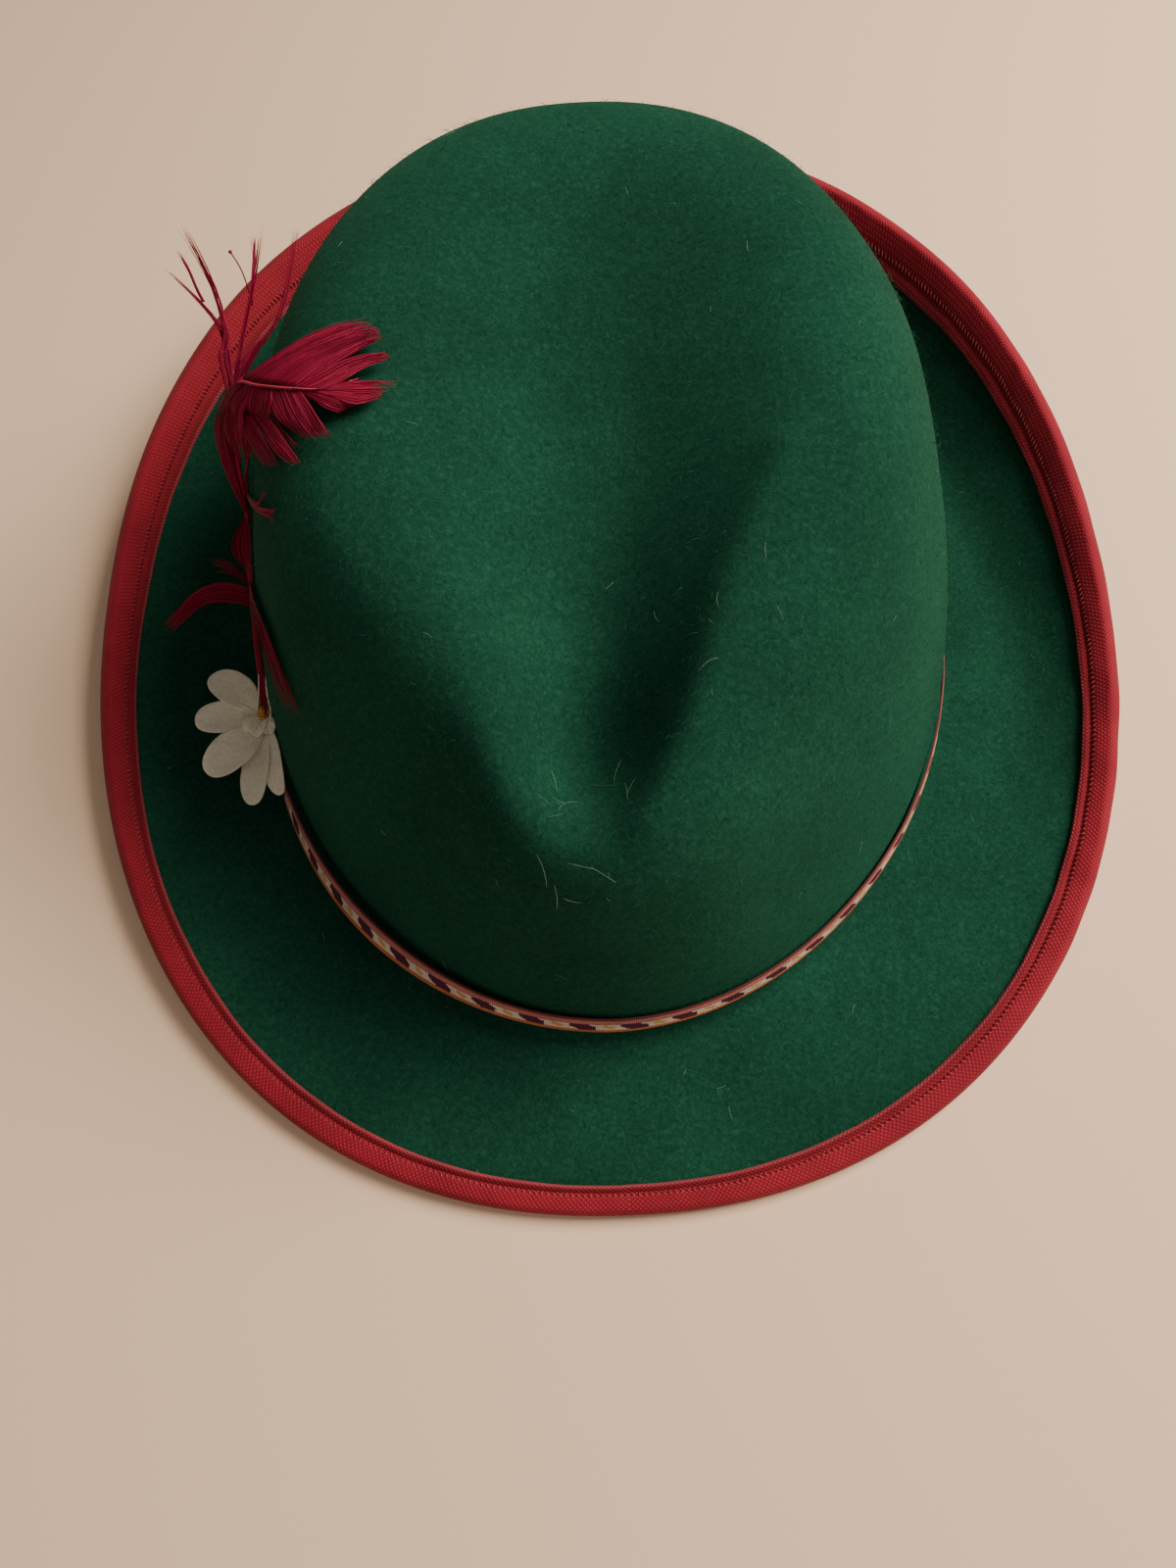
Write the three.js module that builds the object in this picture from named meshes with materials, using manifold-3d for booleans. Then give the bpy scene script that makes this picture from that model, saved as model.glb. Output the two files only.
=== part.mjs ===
// A Tyrolean hat of green felt: crown and brim blocked from one piece, a red tape round the
// brim, a narrow woven band, and a white cloth flower with dyed feathers at one side.
// Millimetres, +Z up. The hat rests on z = 0 with its front towards -Y; the origin lies on
// the table under the middle of the brim. Angles run round the crown: 0 is the front,
// +90 is +X and -90 is -X, the side that carries the flower and the feathers.
import * as THREE from 'three';
import { mergeVertices } from 'three/addons/utils/BufferGeometryUtils.js';
import Module from 'manifold-3d';

// Felt.
const feltThickness = 2;
const crownHalfWidth = 83.5; // outside of the felt at the foot of the crown
const crownHalfLength = 105;
const crownSetBack = -2; // the crown's middle against the brim's middle
const crownHeight = 106; // highest ridge above the brim's root
const frontHeightShare = 0.74; // the crown is lower in front
const footRadius = 5; // where the crown turns into the brim

// Brim.
const brimHalfWidth = 123;
const brimHalfLength = 143.5;
const brimRoundness = 2.2; // 2 is an ellipse, more is squarer
const frontRootLift = 6; // the brim slopes down to the front
const sideRise = 14; // how far the edge turns up
const backRise = 33;
const flatReach = 0.3; // share of the brim's width that lies flat before it turns up

// Dents pressed into the crown.
const creaseDepth = 24; // along the middle of the top
const creaseBend = 6; // its front end lies this far to -X
const leftPinchDepth = 13;
const rightPinchDepth = 8;

// Red tape folded over the brim's edge.
const tapeWidth = 5;
const tapeThickness = 0.9;
const tapeGap = 0.45; // between the felt and the folded tape
const seamDepth = 0.6; // the stitches pull the tape in
const stitchInset = 1.8; // the seam runs this far from the tape's inner edge

// Woven band round the foot of the crown.
const bandWidth = 5.2;
const bandThickness = 0.9;
const bandLift = 6; // lower edge above the brim's root
const bandSlack = 2.6; // it stands away from the felt at the front left
const slackAngle = -42;
const slackSpread = 26; // degrees to either side

// Cloth flower at the foot of the crown.
const flowerAngle = -77.5;
const flowerHeight = 8; // its middle above the brim's root
const flowerDiscRadius = 2.8;
const petalLength = 17;
const petalWidth = 12;
const clothThickness = 1;
const flowerEyeRadius = 1.5;

// Feathers that rise from behind the flower along the crown.
const quillWidth = 2.2;
const featherThickness = 1.2;
const vaneWidth = 9; // from the quill to the edge of the main feather
const wispWidth = 1.6;

const gap = 0.3; // between neighbouring pieces
const around = 60; // facets round the hat

// Shares of the crown's height and of its foot's half width and half length, from the foot
// to the middle of the top, and the roundness of the oval there: 2 is an ellipse, more is
// squarer. Rows are evenly spaced along the climb.
const crownSections = [
  { rise: 0.0, side: 1.0, front: 1.0, back: 1.0, roundness: 1.9 },
  { rise: 0.2, side: 0.972, front: 0.98, back: 0.985, roundness: 1.95 },
  { rise: 0.41, side: 0.926, front: 0.95, back: 0.965, roundness: 2.03 },
  { rise: 0.6, side: 0.87, front: 0.915, back: 0.935, roundness: 2.1 },
  { rise: 0.77, side: 0.8, front: 0.875, back: 0.875, roundness: 2.15 },
  { rise: 0.9, side: 0.687, front: 0.795, back: 0.76, roundness: 2.15 },
  { rise: 0.97, side: 0.53, front: 0.635, back: 0.605, roundness: 2.15 },
  { rise: 0.995, side: 0.295, front: 0.355, back: 0.355, roundness: 2.1 },
  { rise: 1.0, side: 0.0, front: 0.0, back: 0.0, roundness: 2 },
];

// Petals: turn is 0 straight out from the crown and 90 along it to the front; lift raises the
// petal and roll turns its face from the sky to the crown. Lengths and widths are shares.
const petals = [
  { turn: -62, lift: 4, roll: 0, length: 0.95, width: 1 },
  { turn: -24, lift: 0, roll: 0, length: 0.97, width: 0.9 },
  { turn: 24, lift: -4, roll: 0, length: 1.05, width: 1 },
  { turn: 70, lift: -4, roll: 20, length: 1.25, width: 0.8 },
  { turn: 92, lift: 4, roll: 60, length: 1.2, width: 0.6 },
  { turn: -80, lift: 42, roll: 60, length: 0.9, width: 0.6 },
  { turn: -62, lift: 62, roll: 80, length: 1, width: 0.6 },
];

// Places on the crown that a feather's quill follows, from its root to its tip. Stand is in
// millimetres beyond the quill's own seat over the band; front and back are shares of the
// vane's width to either side.
const mainQuill = [
  { angle: -79.5, climb: 0.03, stand: 0, front: 0.12, back: 0.12 },
  { angle: -80, climb: 0.08, stand: 0, front: 0.2, back: 0.14 },
  { angle: -81.5, climb: 0.15, stand: 0, front: 0.35, back: 0.2 },
  { angle: -83.5, climb: 0.22, stand: 0, front: 0.5, back: 0.3 },
  { angle: -85.5, climb: 0.29, stand: 0, front: 0.5, back: 0.4 },
  { angle: -88, climb: 0.36, stand: 0.3, front: 0.35, back: 0.35 },
  { angle: -89.5, climb: 0.43, stand: 1.3, front: 0.3, back: 0.3 },
  { angle: -91, climb: 0.49, stand: 3.3, front: 0.35, back: 0.35 },
  { angle: -91.5, climb: 0.545, stand: 4.8, front: 0.5, back: 0.5 },
  { angle: -91, climb: 0.6, stand: 5, front: 0.75, back: 0.6 },
  { angle: -88, climb: 0.66, stand: 3.8, front: 0.9, back: 0.8 },
  { angle: -85.5, climb: 0.72, stand: 2.4, front: 0.8, back: 0.9 },
  { angle: -86, climb: 0.76, stand: 1.6, front: 0.5, back: 0.6 },
  { angle: -87, climb: 0.8, stand: 1.6, front: 0.1, back: 0.1 },
];
const wispQuill = [
  { angle: -80.5, climb: 0.035, stand: 1.6, front: 1, back: 1 },
  { angle: -82, climb: 0.13, stand: 1.6, front: 1, back: 1 },
  { angle: -84, climb: 0.24, stand: 1.6, front: 1, back: 1 },
  { angle: -87.5, climb: 0.34, stand: 1.7, front: 1, back: 1.4 },
  { angle: -90, climb: 0.42, stand: 3.6, front: 1.2, back: 1.8 },
  { angle: -91.5, climb: 0.48, stand: 5.2, front: 1.2, back: 1.6 },
  { angle: -92.5, climb: 0.53, stand: 6.4, front: 1, back: 1.4 },
  { angle: -94, climb: 0.57, stand: 8, front: 0.9, back: 1 },
  { angle: -97, climb: 0.6, stand: 10.5, front: 0.5, back: 0.5 },
];
const smallQuill = [
  { angle: -84, climb: 0.03, stand: -0.9, front: 0.6, back: 0.6 },
  { angle: -86, climb: 0.09, stand: -0.9, front: 0.7, back: 0.7 },
  { angle: -87.5, climb: 0.16, stand: 0.2, front: 1, back: 1 },
  { angle: -88.5, climb: 0.21, stand: 2, front: 1.4, back: 1.6 },
  { angle: -88.5, climb: 0.215, stand: 6.5, front: 1.6, back: 2.4 },
  { angle: -88.5, climb: 0.19, stand: 11.5, front: 1.3, back: 2.2 },
  { angle: -88, climb: 0.16, stand: 15.5, front: 0.9, back: 1.4 },
  { angle: -87, climb: 0.13, stand: 19, front: 0.4, back: 0.4 },
];

// Locks of barbs: they leave the quill at a share of its length and end at a place on the
// crown. Widths are shares of the vane's or the wisp's width.
const mainLocks = [
  { at: 0.1, angle: -66, climb: 0.29, stand: -1.6, width: 0.45 },
  { at: 0.16, angle: -61, climb: 0.385, stand: -1.8, width: 0.5 },
  { at: 0.24, angle: -67, climb: 0.42, stand: -1.6, width: 0.5 },
  { at: 0.32, angle: -75, climb: 0.45, stand: -1.4, width: 0.4 },
  { at: 0.28, angle: -84.5, climb: 0.36, stand: 2, width: 0.3 },
  { at: 0.22, angle: -93, climb: 0.33, stand: -1, width: 0.4 },
  { at: 0.3, angle: -97, climb: 0.43, stand: -0.8, width: 0.4 },
  { at: 0.62, angle: -86, climb: 0.54, stand: 0.9, width: 0.3 },
  { at: 0.66, angle: -82, climb: 0.59, stand: 1.1, width: 0.34 },
  { at: 0.7, angle: -79, climb: 0.65, stand: 1.5, width: 0.36 },
  { at: 0.74, angle: -80, climb: 0.71, stand: 1.3, width: 0.4 },
  { at: 0.8, angle: -83, climb: 0.74, stand: 1.2, width: 0.36 },
  { at: 0.7, angle: -97, climb: 0.69, stand: 2.6, width: 0.4 },
  { at: 0.76, angle: -97.5, climb: 0.77, stand: 2.6, width: 0.45 },
  { at: 0.82, angle: -93, climb: 0.79, stand: 1.9, width: 0.36 },
];
const wispLocks = [
  { at: 0.72, angle: -106, climb: 0.58, stand: 21, width: 0.55 },
  { at: 0.78, angle: -104, climb: 0.57, stand: 20.5, width: 0.5 },
  { at: 0.74, angle: -102, climb: 0.56, stand: 20, width: 0.55 },
  { at: 0.7, angle: -108, climb: 0.57, stand: 12.5, width: 0.5 },
  { at: 0.68, angle: -113, climb: 0.59, stand: 9.5, width: 0.55 },
  { at: 0.64, angle: -115, climb: 0.61, stand: 4, width: 0.55 },
];
const smallLocks = [
  { at: 0.5, angle: -92, climb: 0.22, stand: 9, width: 0.7 },
  { at: 0.6, angle: -93, climb: 0.2, stand: 13, width: 0.6 },
  { at: 0.66, angle: -86.5, climb: 0.17, stand: 14.5, width: 0.7 },
];

const radians = THREE.MathUtils.degToRad;
const { clamp, smoothstep, lerp } = THREE.MathUtils;

// A column of a table, read smoothly at a share t of its length.
function column(table, name, t) {
  const place = clamp(t, 0, 1) * (table.length - 1);
  const i = Math.min(Math.floor(place), table.length - 2);
  const s = place - i;
  const at = (k) => table[clamp(k, 0, table.length - 1)][name];
  const [a, b, c, d] = [at(i - 1), at(i), at(i + 1), at(i + 2)];
  return b + 0.5 * s * (c - a + s * (2 * a - 5 * b + 4 * c - d + s * (3 * (b - c) + d - a)));
}

const bump = (x) => Math.exp(-x * x);

// A sine or cosine of an oval whose roundness isn't 2.
const rounded = (v, roundness) => Math.sign(v) * Math.abs(v) ** (2 / roundness);

// How far back an angle looks: 0 in front, 0.5 at the sides, 1 behind.
const backward = (angle) => (1 - Math.cos(radians(angle))) / 2;

// How high the brim's edge turns up at an angle.
function edgeRise(angle) {
  const half = 2 * backward(angle);
  return half < 1 ? sideRise * half ** 1.5 : lerp(sideRise, backRise, half - 1);
}

// Height of the crown's ridge line over a place between front and back.
function ridgeHeight(y) {
  const along = smoothstep(y, -crownHalfLength, 0.35 * crownHalfLength);
  return crownHeight * lerp(frontHeightShare, 1, along);
}

// Upper surface of the brim's root at an angle.
function rootHeight(angle) {
  return feltThickness + frontRootLift * Math.max(Math.cos(radians(angle)), 0) ** 1.5;
}

// The crown's outer surface, from its foot (climb 0) to the middle of the top (climb 1).
function crownPoint(angle, climb) {
  const a = radians(angle);
  const rise = column(crownSections, 'rise', climb);
  const side = column(crownSections, 'side', climb);
  const end = column(crownSections, Math.cos(a) > 0 ? 'front' : 'back', climb);
  const roundness = column(crownSections, 'roundness', climb);
  const x = crownHalfWidth * side * rounded(Math.sin(a), roundness);
  const y = crownSetBack - crownHalfLength * end * rounded(Math.cos(a), roundness);
  const z = lerp(rootHeight(angle) + footRadius, ridgeHeight(y), rise);
  const p = new THREE.Vector3(x, y, z);
  return pinched(creased(p, rise));
}

// The crease along the top: narrow in front, wide and shallow towards the back.
function creased(p, rise) {
  const back = (p.y + crownHalfLength) / (2 * crownHalfLength);
  const halfWidth = crownHalfWidth * lerp(0.17, 0.5, smoothstep(back, 0.05, 0.7));
  const middle = -creaseBend * (1 - smoothstep(back, 0.05, 0.5));
  const depth = creaseDepth * smoothstep(back, 0.03, 0.2) * (1 - 0.9 * smoothstep(back, 0.45, 0.95));
  p.z -= depth * bump((p.x - middle) / halfWidth) * smoothstep(rise, 0.55, 0.95);
  return p;
}

// The two dents that pinch the front of the crown.
function pinched(p) {
  for (const [sign, depth] of [[-1, leftPinchDepth], [1, rightPinchDepth]]) {
    const dx = (p.x - sign * 0.5 * crownHalfWidth) / (0.3 * crownHalfWidth);
    const dy = (p.y + 0.68 * crownHalfLength) / (0.3 * crownHalfLength);
    const dz = (p.z - 0.66 * crownHeight) / (0.32 * crownHeight);
    const push = depth * bump(Math.hypot(dx, dy, dz));
    p.x -= sign * push * 0.75;
    p.y += push * 0.5;
  }
  return p;
}

// Where the tape ends on the brim, as a reach, and the rings that it follows.
const feltBrimWidth = brimHalfWidth - tapeThickness - tapeGap - crownHalfWidth - footRadius;
const tapeReach = 1 - tapeWidth / feltBrimWidth;
const stitchReach = lerp(tapeReach, 1, stitchInset / tapeWidth);
const tapeReaches = [tapeReach, stitchReach, 1];

// The brim's edge before the tape.
function edgePoint(angle) {
  const a = radians(angle);
  return new THREE.Vector3(
    (brimHalfWidth - tapeGap - tapeThickness) * rounded(Math.sin(a), brimRoundness),
    -(brimHalfLength - tapeGap - tapeThickness) * rounded(Math.cos(a), brimRoundness),
    0,
  );
}

// The brim's upper surface, from its root (reach 0) to its edge (reach 1).
function brimPoint(angle, reach) {
  const foot = crownPoint(angle, 0).setZ(0);
  const edge = edgePoint(angle);
  const root = foot.clone().add(edge.clone().sub(foot).setLength(footRadius));
  const p = root.lerp(edge, reach);
  const slope = (rootHeight(angle) - feltThickness) * (1 - reach) ** 1.3;
  const tapeRoom = (tapeThickness + tapeGap) * smoothstep(reach, flatReach, tapeReach);
  const curl = Math.max(reach - flatReach, 0) / (1 - flatReach);
  const rise = edgeRise(angle) * curl ** lerp(2.4, 1.6, backward(angle));
  p.z = feltThickness + slope + tapeRoom + rise;
  return p;
}

// The fillet between crown and brim: turn 0 is the brim's root, 1 is the crown's foot.
function footPoint(angle, turn) {
  const foot = crownPoint(angle, 0);
  const root = brimPoint(angle, 0);
  const t = radians(90 * turn);
  return new THREE.Vector3(
    lerp(root.x, foot.x, Math.sin(t)),
    lerp(root.y, foot.y, Math.sin(t)),
    lerp(root.z, foot.z, 1 - Math.cos(t)),
  );
}

const angles = Array.from({ length: around }, (_, i) => (360 * i) / around);
const ringOf = (point, ...where) => angles.map((angle) => point(angle, ...where));

// Joins rings of points into a surface, each quad cut along its shorter diagonal. A ring of
// one point is a pole.
function skin(rings, closeAlong = false) {
  const points = rings.flat();
  const apart = (i, j) => points[i].distanceToSquared(points[j]);
  const starts = [];
  rings.reduce((n, ring) => (starts.push(n), n + ring.length), 0);
  const index = [];
  const last = closeAlong ? rings.length : rings.length - 1;
  for (let r = 0; r < last; r++) {
    const next = (r + 1) % rings.length;
    const n = Math.max(rings[r].length, rings[next].length);
    for (let i = 0; i < n; i++) {
      const at = (ring, k) => starts[ring] + (k % rings[ring].length);
      const [a, b, c, d] = [at(r, i), at(r, i + 1), at(next, i), at(next, i + 1)];
      if (a === b) index.push(a, c, d);
      else if (c === d) index.push(a, d, b);
      else if (apart(a, d) <= apart(b, c)) index.push(a, d, b, a, c, d);
      else index.push(a, c, b, b, c, d);
    }
  }
  const geometry = new THREE.BufferGeometry();
  geometry.setAttribute(
    'position',
    new THREE.Float32BufferAttribute(points.flatMap((p) => [p.x, p.y, p.z]), 3),
  );
  geometry.setIndex(index);
  return geometry;
}

// Unit normals of a stack of rings, in the same layout.
function normalsOf(rings) {
  const geometry = skin(rings);
  geometry.computeVertexNormals();
  const normals = geometry.attributes.normal;
  let n = 0;
  return rings.map((ring) => ring.map(() => new THREE.Vector3().fromBufferAttribute(normals, n++)));
}

const offset = (rings, normals, by) =>
  rings.map((ring, r) => ring.map((p, i) => p.clone().addScaledVector(normals[r][i], by)));

const crownClimbs = [0.07, 0.16, 0.26, 0.36, 0.46, 0.55, 0.63, 0.7, 0.76, 0.82, 0.88, 0.94, 1];
const brimReaches = [0, 0.1, 0.2, flatReach, 0.42, 0.55, 0.68, ...tapeReaches];
const outside = [
  [crownPoint(0, 1)],
  ...crownClimbs.slice(0, -1).reverse().map((climb) => ringOf(crownPoint, climb)),
  ringOf(crownPoint, 0),
  ringOf(footPoint, 0.55),
  ...brimReaches.map((reach) => ringOf(brimPoint, reach)),
];
const outward = normalsOf(outside);
const inside = offset(outside, outward, -feltThickness);

function feltBody() {
  return skin([...outside, ...[...inside].reverse()]);
}

// The tape is folded over the edge: its section runs out over the top, round the edge and
// back below, with a groove at the seam on both faces.
function brimBinding() {
  const [top, under, up] = [outside, inside, outward].map((rings) => rings.slice(-3));
  const outer = tapeGap + tapeThickness;
  const groove = outer - seamDepth;
  const cover = (r, side, by) =>
    (side > 0 ? top : under)[r].map((p, i) => p.clone().addScaledVector(up[r][i], side * by));
  const between = (a, b, share) => a.map((p, i) => p.clone().lerp(b[i], share));
  const away = top[2].map((p, i) => p.clone().sub(top[1][i]).normalize());
  const push = (ring, by) => ring.map((p, i) => p.clone().addScaledVector(away[i], by));
  const face = (side) => [
    cover(0, side, outer),
    cover(1, side, groove),
    between(cover(1, side, outer), cover(2, side, outer), 0.3),
    cover(2, side, outer),
    push(cover(2, side, 0.7 * outer), 0.7 * outer),
  ];
  const lining = (side) => [
    cover(0, side, tapeGap),
    cover(1, side, tapeGap),
    push(cover(2, side, tapeGap), tapeGap),
  ];
  const edge = push(between(top[2], under[2], 0.5), outer);
  return skin(
    [...face(1), edge, ...face(-1).reverse(), ...lining(-1), ...lining(1).reverse()],
    true,
  );
}

// The place, the outward normal and the directions along and up the wall of the crown.
function wallFrame(angle, climb) {
  const point = crownPoint(angle, climb);
  const along = crownPoint(angle + 1, climb).sub(crownPoint(angle - 1, climb)).normalize();
  const up = crownPoint(angle, climb + 0.01).sub(crownPoint(angle, Math.max(climb - 0.01, 0)));
  const normal = new THREE.Vector3().crossVectors(along, up).normalize();
  return { point, normal, along };
}

// The climb at which the wall reaches a height above the crown's foot.
function climbTo(angle, height) {
  const foot = crownPoint(angle, 0).z;
  let [low, high] = [0, 0.6];
  for (let i = 0; i < 30; i++) {
    const middle = (low + high) / 2;
    if (crownPoint(angle, middle).z - foot < height) low = middle;
    else high = middle;
  }
  return low;
}

// The band: up is a share of its width, out a distance from the wall. Its slack stretch leans
// outward.
function bandPoint(angle, up, out) {
  const { point, normal } = wallFrame(angle, climbTo(angle, bandLift - footRadius + up * bandWidth));
  const turned = angle > 180 ? angle - 360 : angle;
  const slack = bandSlack * bump((turned - slackAngle) / slackSpread);
  return point.addScaledVector(normal.setZ(0).normalize(), gap + out + slack * up);
}

function hatBand() {
  const rows = [[1, 0], [1, 1], [0.5, 1], [0, 1], [0, 0], [0.5, 0]];
  return skin(rows.map(([up, out]) => ringOf(bandPoint, up, out * bandThickness)), true);
}

// A strip along a path of points, with a thin edge. It lies with one side to the face
// direction, and spread gives its front and back half widths at a share of its length.
function strip(path, face, thickness, spread) {
  const last = path.length - 1;
  const heading = (i) =>
    path[Math.min(i + 1, last)].clone().sub(path[Math.max(i - 1, 0)]).normalize();
  const across = heading(0).cross(face).normalize();
  const rings = path.map((p, i) => {
    const ahead = heading(i);
    across.addScaledVector(ahead, -across.dot(ahead)).normalize();
    const up = across.clone().cross(ahead).multiplyScalar(thickness / 2);
    const [front, back] = spread(i / last);
    return [
      p.clone().addScaledVector(across, front),
      p.clone().add(up),
      p.clone().addScaledVector(across, -back),
      p.clone().sub(up),
    ];
  });
  return skin([[path[0]], ...rings.slice(1, -1), [path[last]]]);
}

const wasm = await Module();
wasm.setup();

// Joins overlapping closed bodies into one.
function fuse(geometries) {
  const solids = geometries.map((geometry) => {
    for (const name of ['normal', 'uv']) geometry.deleteAttribute(name);
    const merged = mergeVertices(geometry);
    return new wasm.Manifold(
      new wasm.Mesh({
        numProp: 3,
        vertProperties: new Float32Array(merged.attributes.position.array),
        triVerts: new Uint32Array(merged.index.array),
      }),
    );
  });
  const mesh = solids.reduce((whole, solid) => whole.add(solid)).getMesh();
  const geometry = new THREE.BufferGeometry();
  geometry.setAttribute('position', new THREE.BufferAttribute(mesh.vertProperties, 3));
  geometry.setIndex(new THREE.BufferAttribute(mesh.triVerts, 1));
  return geometry;
}

// How far a feather's quill lies from the crown where it passes over the band.
const featherSeat = 2 * gap + bandThickness + 0.4 * bandSlack + featherThickness / 2;

function featherPlace(angle, climb, stand) {
  const { point, normal } = wallFrame(angle, climb);
  return point.addScaledVector(normal, featherSeat + stand);
}

// A feather: a strip along the quill's table, with locks of barbs fused to it.
function feather(quill, locks, width) {
  const read = (name, t) => column(quill, name, t);
  const placeAt = (t) => featherPlace(read('angle', t), read('climb', t), read('stand', t));
  const steps = 2 * quill.length;
  const path = Array.from({ length: steps + 1 }, (_, i) => placeAt(i / steps));
  const faceAt = (t) => wallFrame(read('angle', t), read('climb', t)).normal;
  const vane = strip(path, faceAt(0), featherThickness, (t) => [
    width * read('front', t),
    width * read('back', t),
  ]);
  const barbs = locks.map((lock) => {
    const from = (name, t) => lerp(read(name, lock.at), lock[name], t);
    const path = Array.from({ length: 8 }, (_, i) =>
      featherPlace(from('angle', (i / 7) ** 1.4), from('climb', i / 7), from('stand', i / 7)),
    );
    const taper = (t) => width * lock.width * Math.sin(Math.PI * (0.12 + 0.86 * t)) ** 0.8;
    const thickness = 0.8 * featherThickness;
    return strip(path, faceAt(lock.at), thickness, (t) => [taper(t), taper(t)]);
  });
  return fuse([vane, ...barbs]);
}

// The flower's middle, and its own directions: out from the crown, along it and up.
function flowerFrame() {
  const { point, normal, along } = wallFrame(flowerAngle, 0);
  const out = normal.setZ(0).normalize();
  point.addScaledVector(out, featherSeat + 0.45 * flowerDiscRadius);
  point.z = rootHeight(flowerAngle) + flowerHeight;
  const axis = out.clone().add(new THREE.Vector3(0, 0, 2.2)).normalize();
  return { middle: point, out, along, axis };
}

function petal({ turn, lift, roll, length, width }) {
  const { middle, out, along, axis } = flowerFrame();
  const up = new THREE.Vector3(0, 0, 1);
  const level = out.clone().multiplyScalar(Math.cos(radians(turn)));
  level.addScaledVector(along, Math.sin(radians(turn)));
  const rim = level.clone().addScaledVector(axis, -axis.dot(level)).normalize();
  const path = Array.from({ length: 8 }, (_, i) => {
    const reach = (petalLength * length * i) / 7;
    const curl = radians(lift) + 0.25 * (1 - (2 * i) / 7);
    return middle
      .clone()
      .addScaledVector(rim, 0.72 * flowerDiscRadius)
      .addScaledVector(level, reach * Math.cos(curl))
      .addScaledVector(up, reach * Math.sin(curl));
  });
  const face = up.multiplyScalar(Math.cos(radians(roll))).addScaledVector(out, Math.sin(radians(roll)));
  const half = (t) => 0.5 * petalWidth * width * Math.sin(Math.PI * t ** 1.35) ** 0.7;
  return strip(path, face, clothThickness, (t) => [half(t), half(t)]);
}

// A flat round or domed body on the flower's axis, from its profile.
function onFlowerAxis(profile, sides) {
  const { middle, axis } = flowerFrame();
  const points = profile.map(([r, h]) => new THREE.Vector2(r, h));
  const turn = new THREE.Quaternion().setFromUnitVectors(new THREE.Vector3(0, 1, 0), axis);
  return new THREE.LatheGeometry(points, sides)
    .applyQuaternion(turn)
    .translate(middle.x, middle.y, middle.z);
}

function flowerPetals() {
  const disc = onFlowerAxis(
    [
      [0, -clothThickness],
      [flowerDiscRadius, -0.3 * clothThickness],
      [flowerDiscRadius, 0.4 * clothThickness],
      [0, clothThickness],
    ],
    14,
  );
  return fuse([disc, ...petals.map(petal)]);
}

function flowerCentre() {
  const base = clothThickness + gap;
  const eye = [
    [0, base],
    [0.8 * flowerEyeRadius, base],
    [flowerEyeRadius, base + 0.3 * flowerEyeRadius],
    [0.7 * flowerEyeRadius, base + 0.75 * flowerEyeRadius],
    [0, base + 0.9 * flowerEyeRadius],
  ];
  return fuse([onFlowerAxis(eye, 12)]);
}

const colours = {
  felt: 0x0f5a41,
  tape: 0xb3202f,
  band: 0xc8553a,
  cloth: 0xe9e3d2,
  eye: 0xd9a83c,
  feather: 0xb0183c,
};

function piece(name, geometry, colour, roughness = 0.9) {
  const mesh = new THREE.Mesh(
    geometry,
    new THREE.MeshStandardMaterial({ color: colour, roughness, metalness: 0 }),
  );
  mesh.name = name;
  return mesh;
}

const hat = new THREE.Group();
hat.add(piece('felt_body', feltBody(), colours.felt));
hat.add(piece('brim_binding', brimBinding(), colours.tape, 0.8));
hat.add(piece('hat_band', hatBand(), colours.band, 0.85));
hat.add(piece('flower_petals', flowerPetals(), colours.cloth));
hat.add(piece('flower_centre', flowerCentre(), colours.eye));
hat.add(piece('feather_main', feather(mainQuill, mainLocks, vaneWidth), colours.feather));
hat.add(piece('feather_wisps', feather(wispQuill, wispLocks, wispWidth), colours.feather));
hat.add(piece('feather_small', feather(smallQuill, smallLocks, quillWidth / 2), colours.feather));

export default hat;
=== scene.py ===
"""A Tyrolean hat of green felt with a red tape, a woven band, a cloth flower and dyed feathers.

Shapes are worked out in millimetres in the model's own frame: the hat rests on z = 0 with its front
towards -Y. Angles run round the crown: 0 is the front, +90 is +X and -90 is -X, the flower's side.
"""

import bpy
import numpy as np
from mathutils import Matrix


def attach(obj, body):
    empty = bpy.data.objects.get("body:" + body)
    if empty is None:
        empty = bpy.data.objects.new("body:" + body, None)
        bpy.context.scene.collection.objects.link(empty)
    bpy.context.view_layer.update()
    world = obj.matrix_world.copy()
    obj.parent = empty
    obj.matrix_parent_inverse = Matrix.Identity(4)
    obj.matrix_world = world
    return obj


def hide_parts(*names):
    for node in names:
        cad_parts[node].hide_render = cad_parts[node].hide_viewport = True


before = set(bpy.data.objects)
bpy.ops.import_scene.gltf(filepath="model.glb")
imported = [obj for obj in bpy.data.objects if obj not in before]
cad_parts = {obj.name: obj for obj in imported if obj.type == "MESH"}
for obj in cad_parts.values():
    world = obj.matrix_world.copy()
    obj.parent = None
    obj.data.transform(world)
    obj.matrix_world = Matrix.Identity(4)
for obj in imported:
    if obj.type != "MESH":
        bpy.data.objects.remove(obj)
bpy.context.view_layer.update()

# The camera stands in front of the hat and looks steeply down on it. It is turned a little to the
# side and tilted, as in the photograph.
millimetre = 0.001
camera_place = np.array([0.3, -170.3, 258.4]) * millimetre
camera_turn, camera_dip, camera_roll = np.radians([2.48, 63.79, -4.96])
camera_lens, camera_film, camera_near = 27.0, 36.0, 0.01


def stood(thing, right, up, back, place):
    """Puts a camera or a lamp in the scene, at a place in metres, by its own three directions."""
    stand = np.eye(4)
    stand[:3] = np.stack([right, up, back, place], 1)
    thing.matrix_world = Matrix(stand.tolist())
    bpy.context.scene.collection.objects.link(thing)


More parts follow.
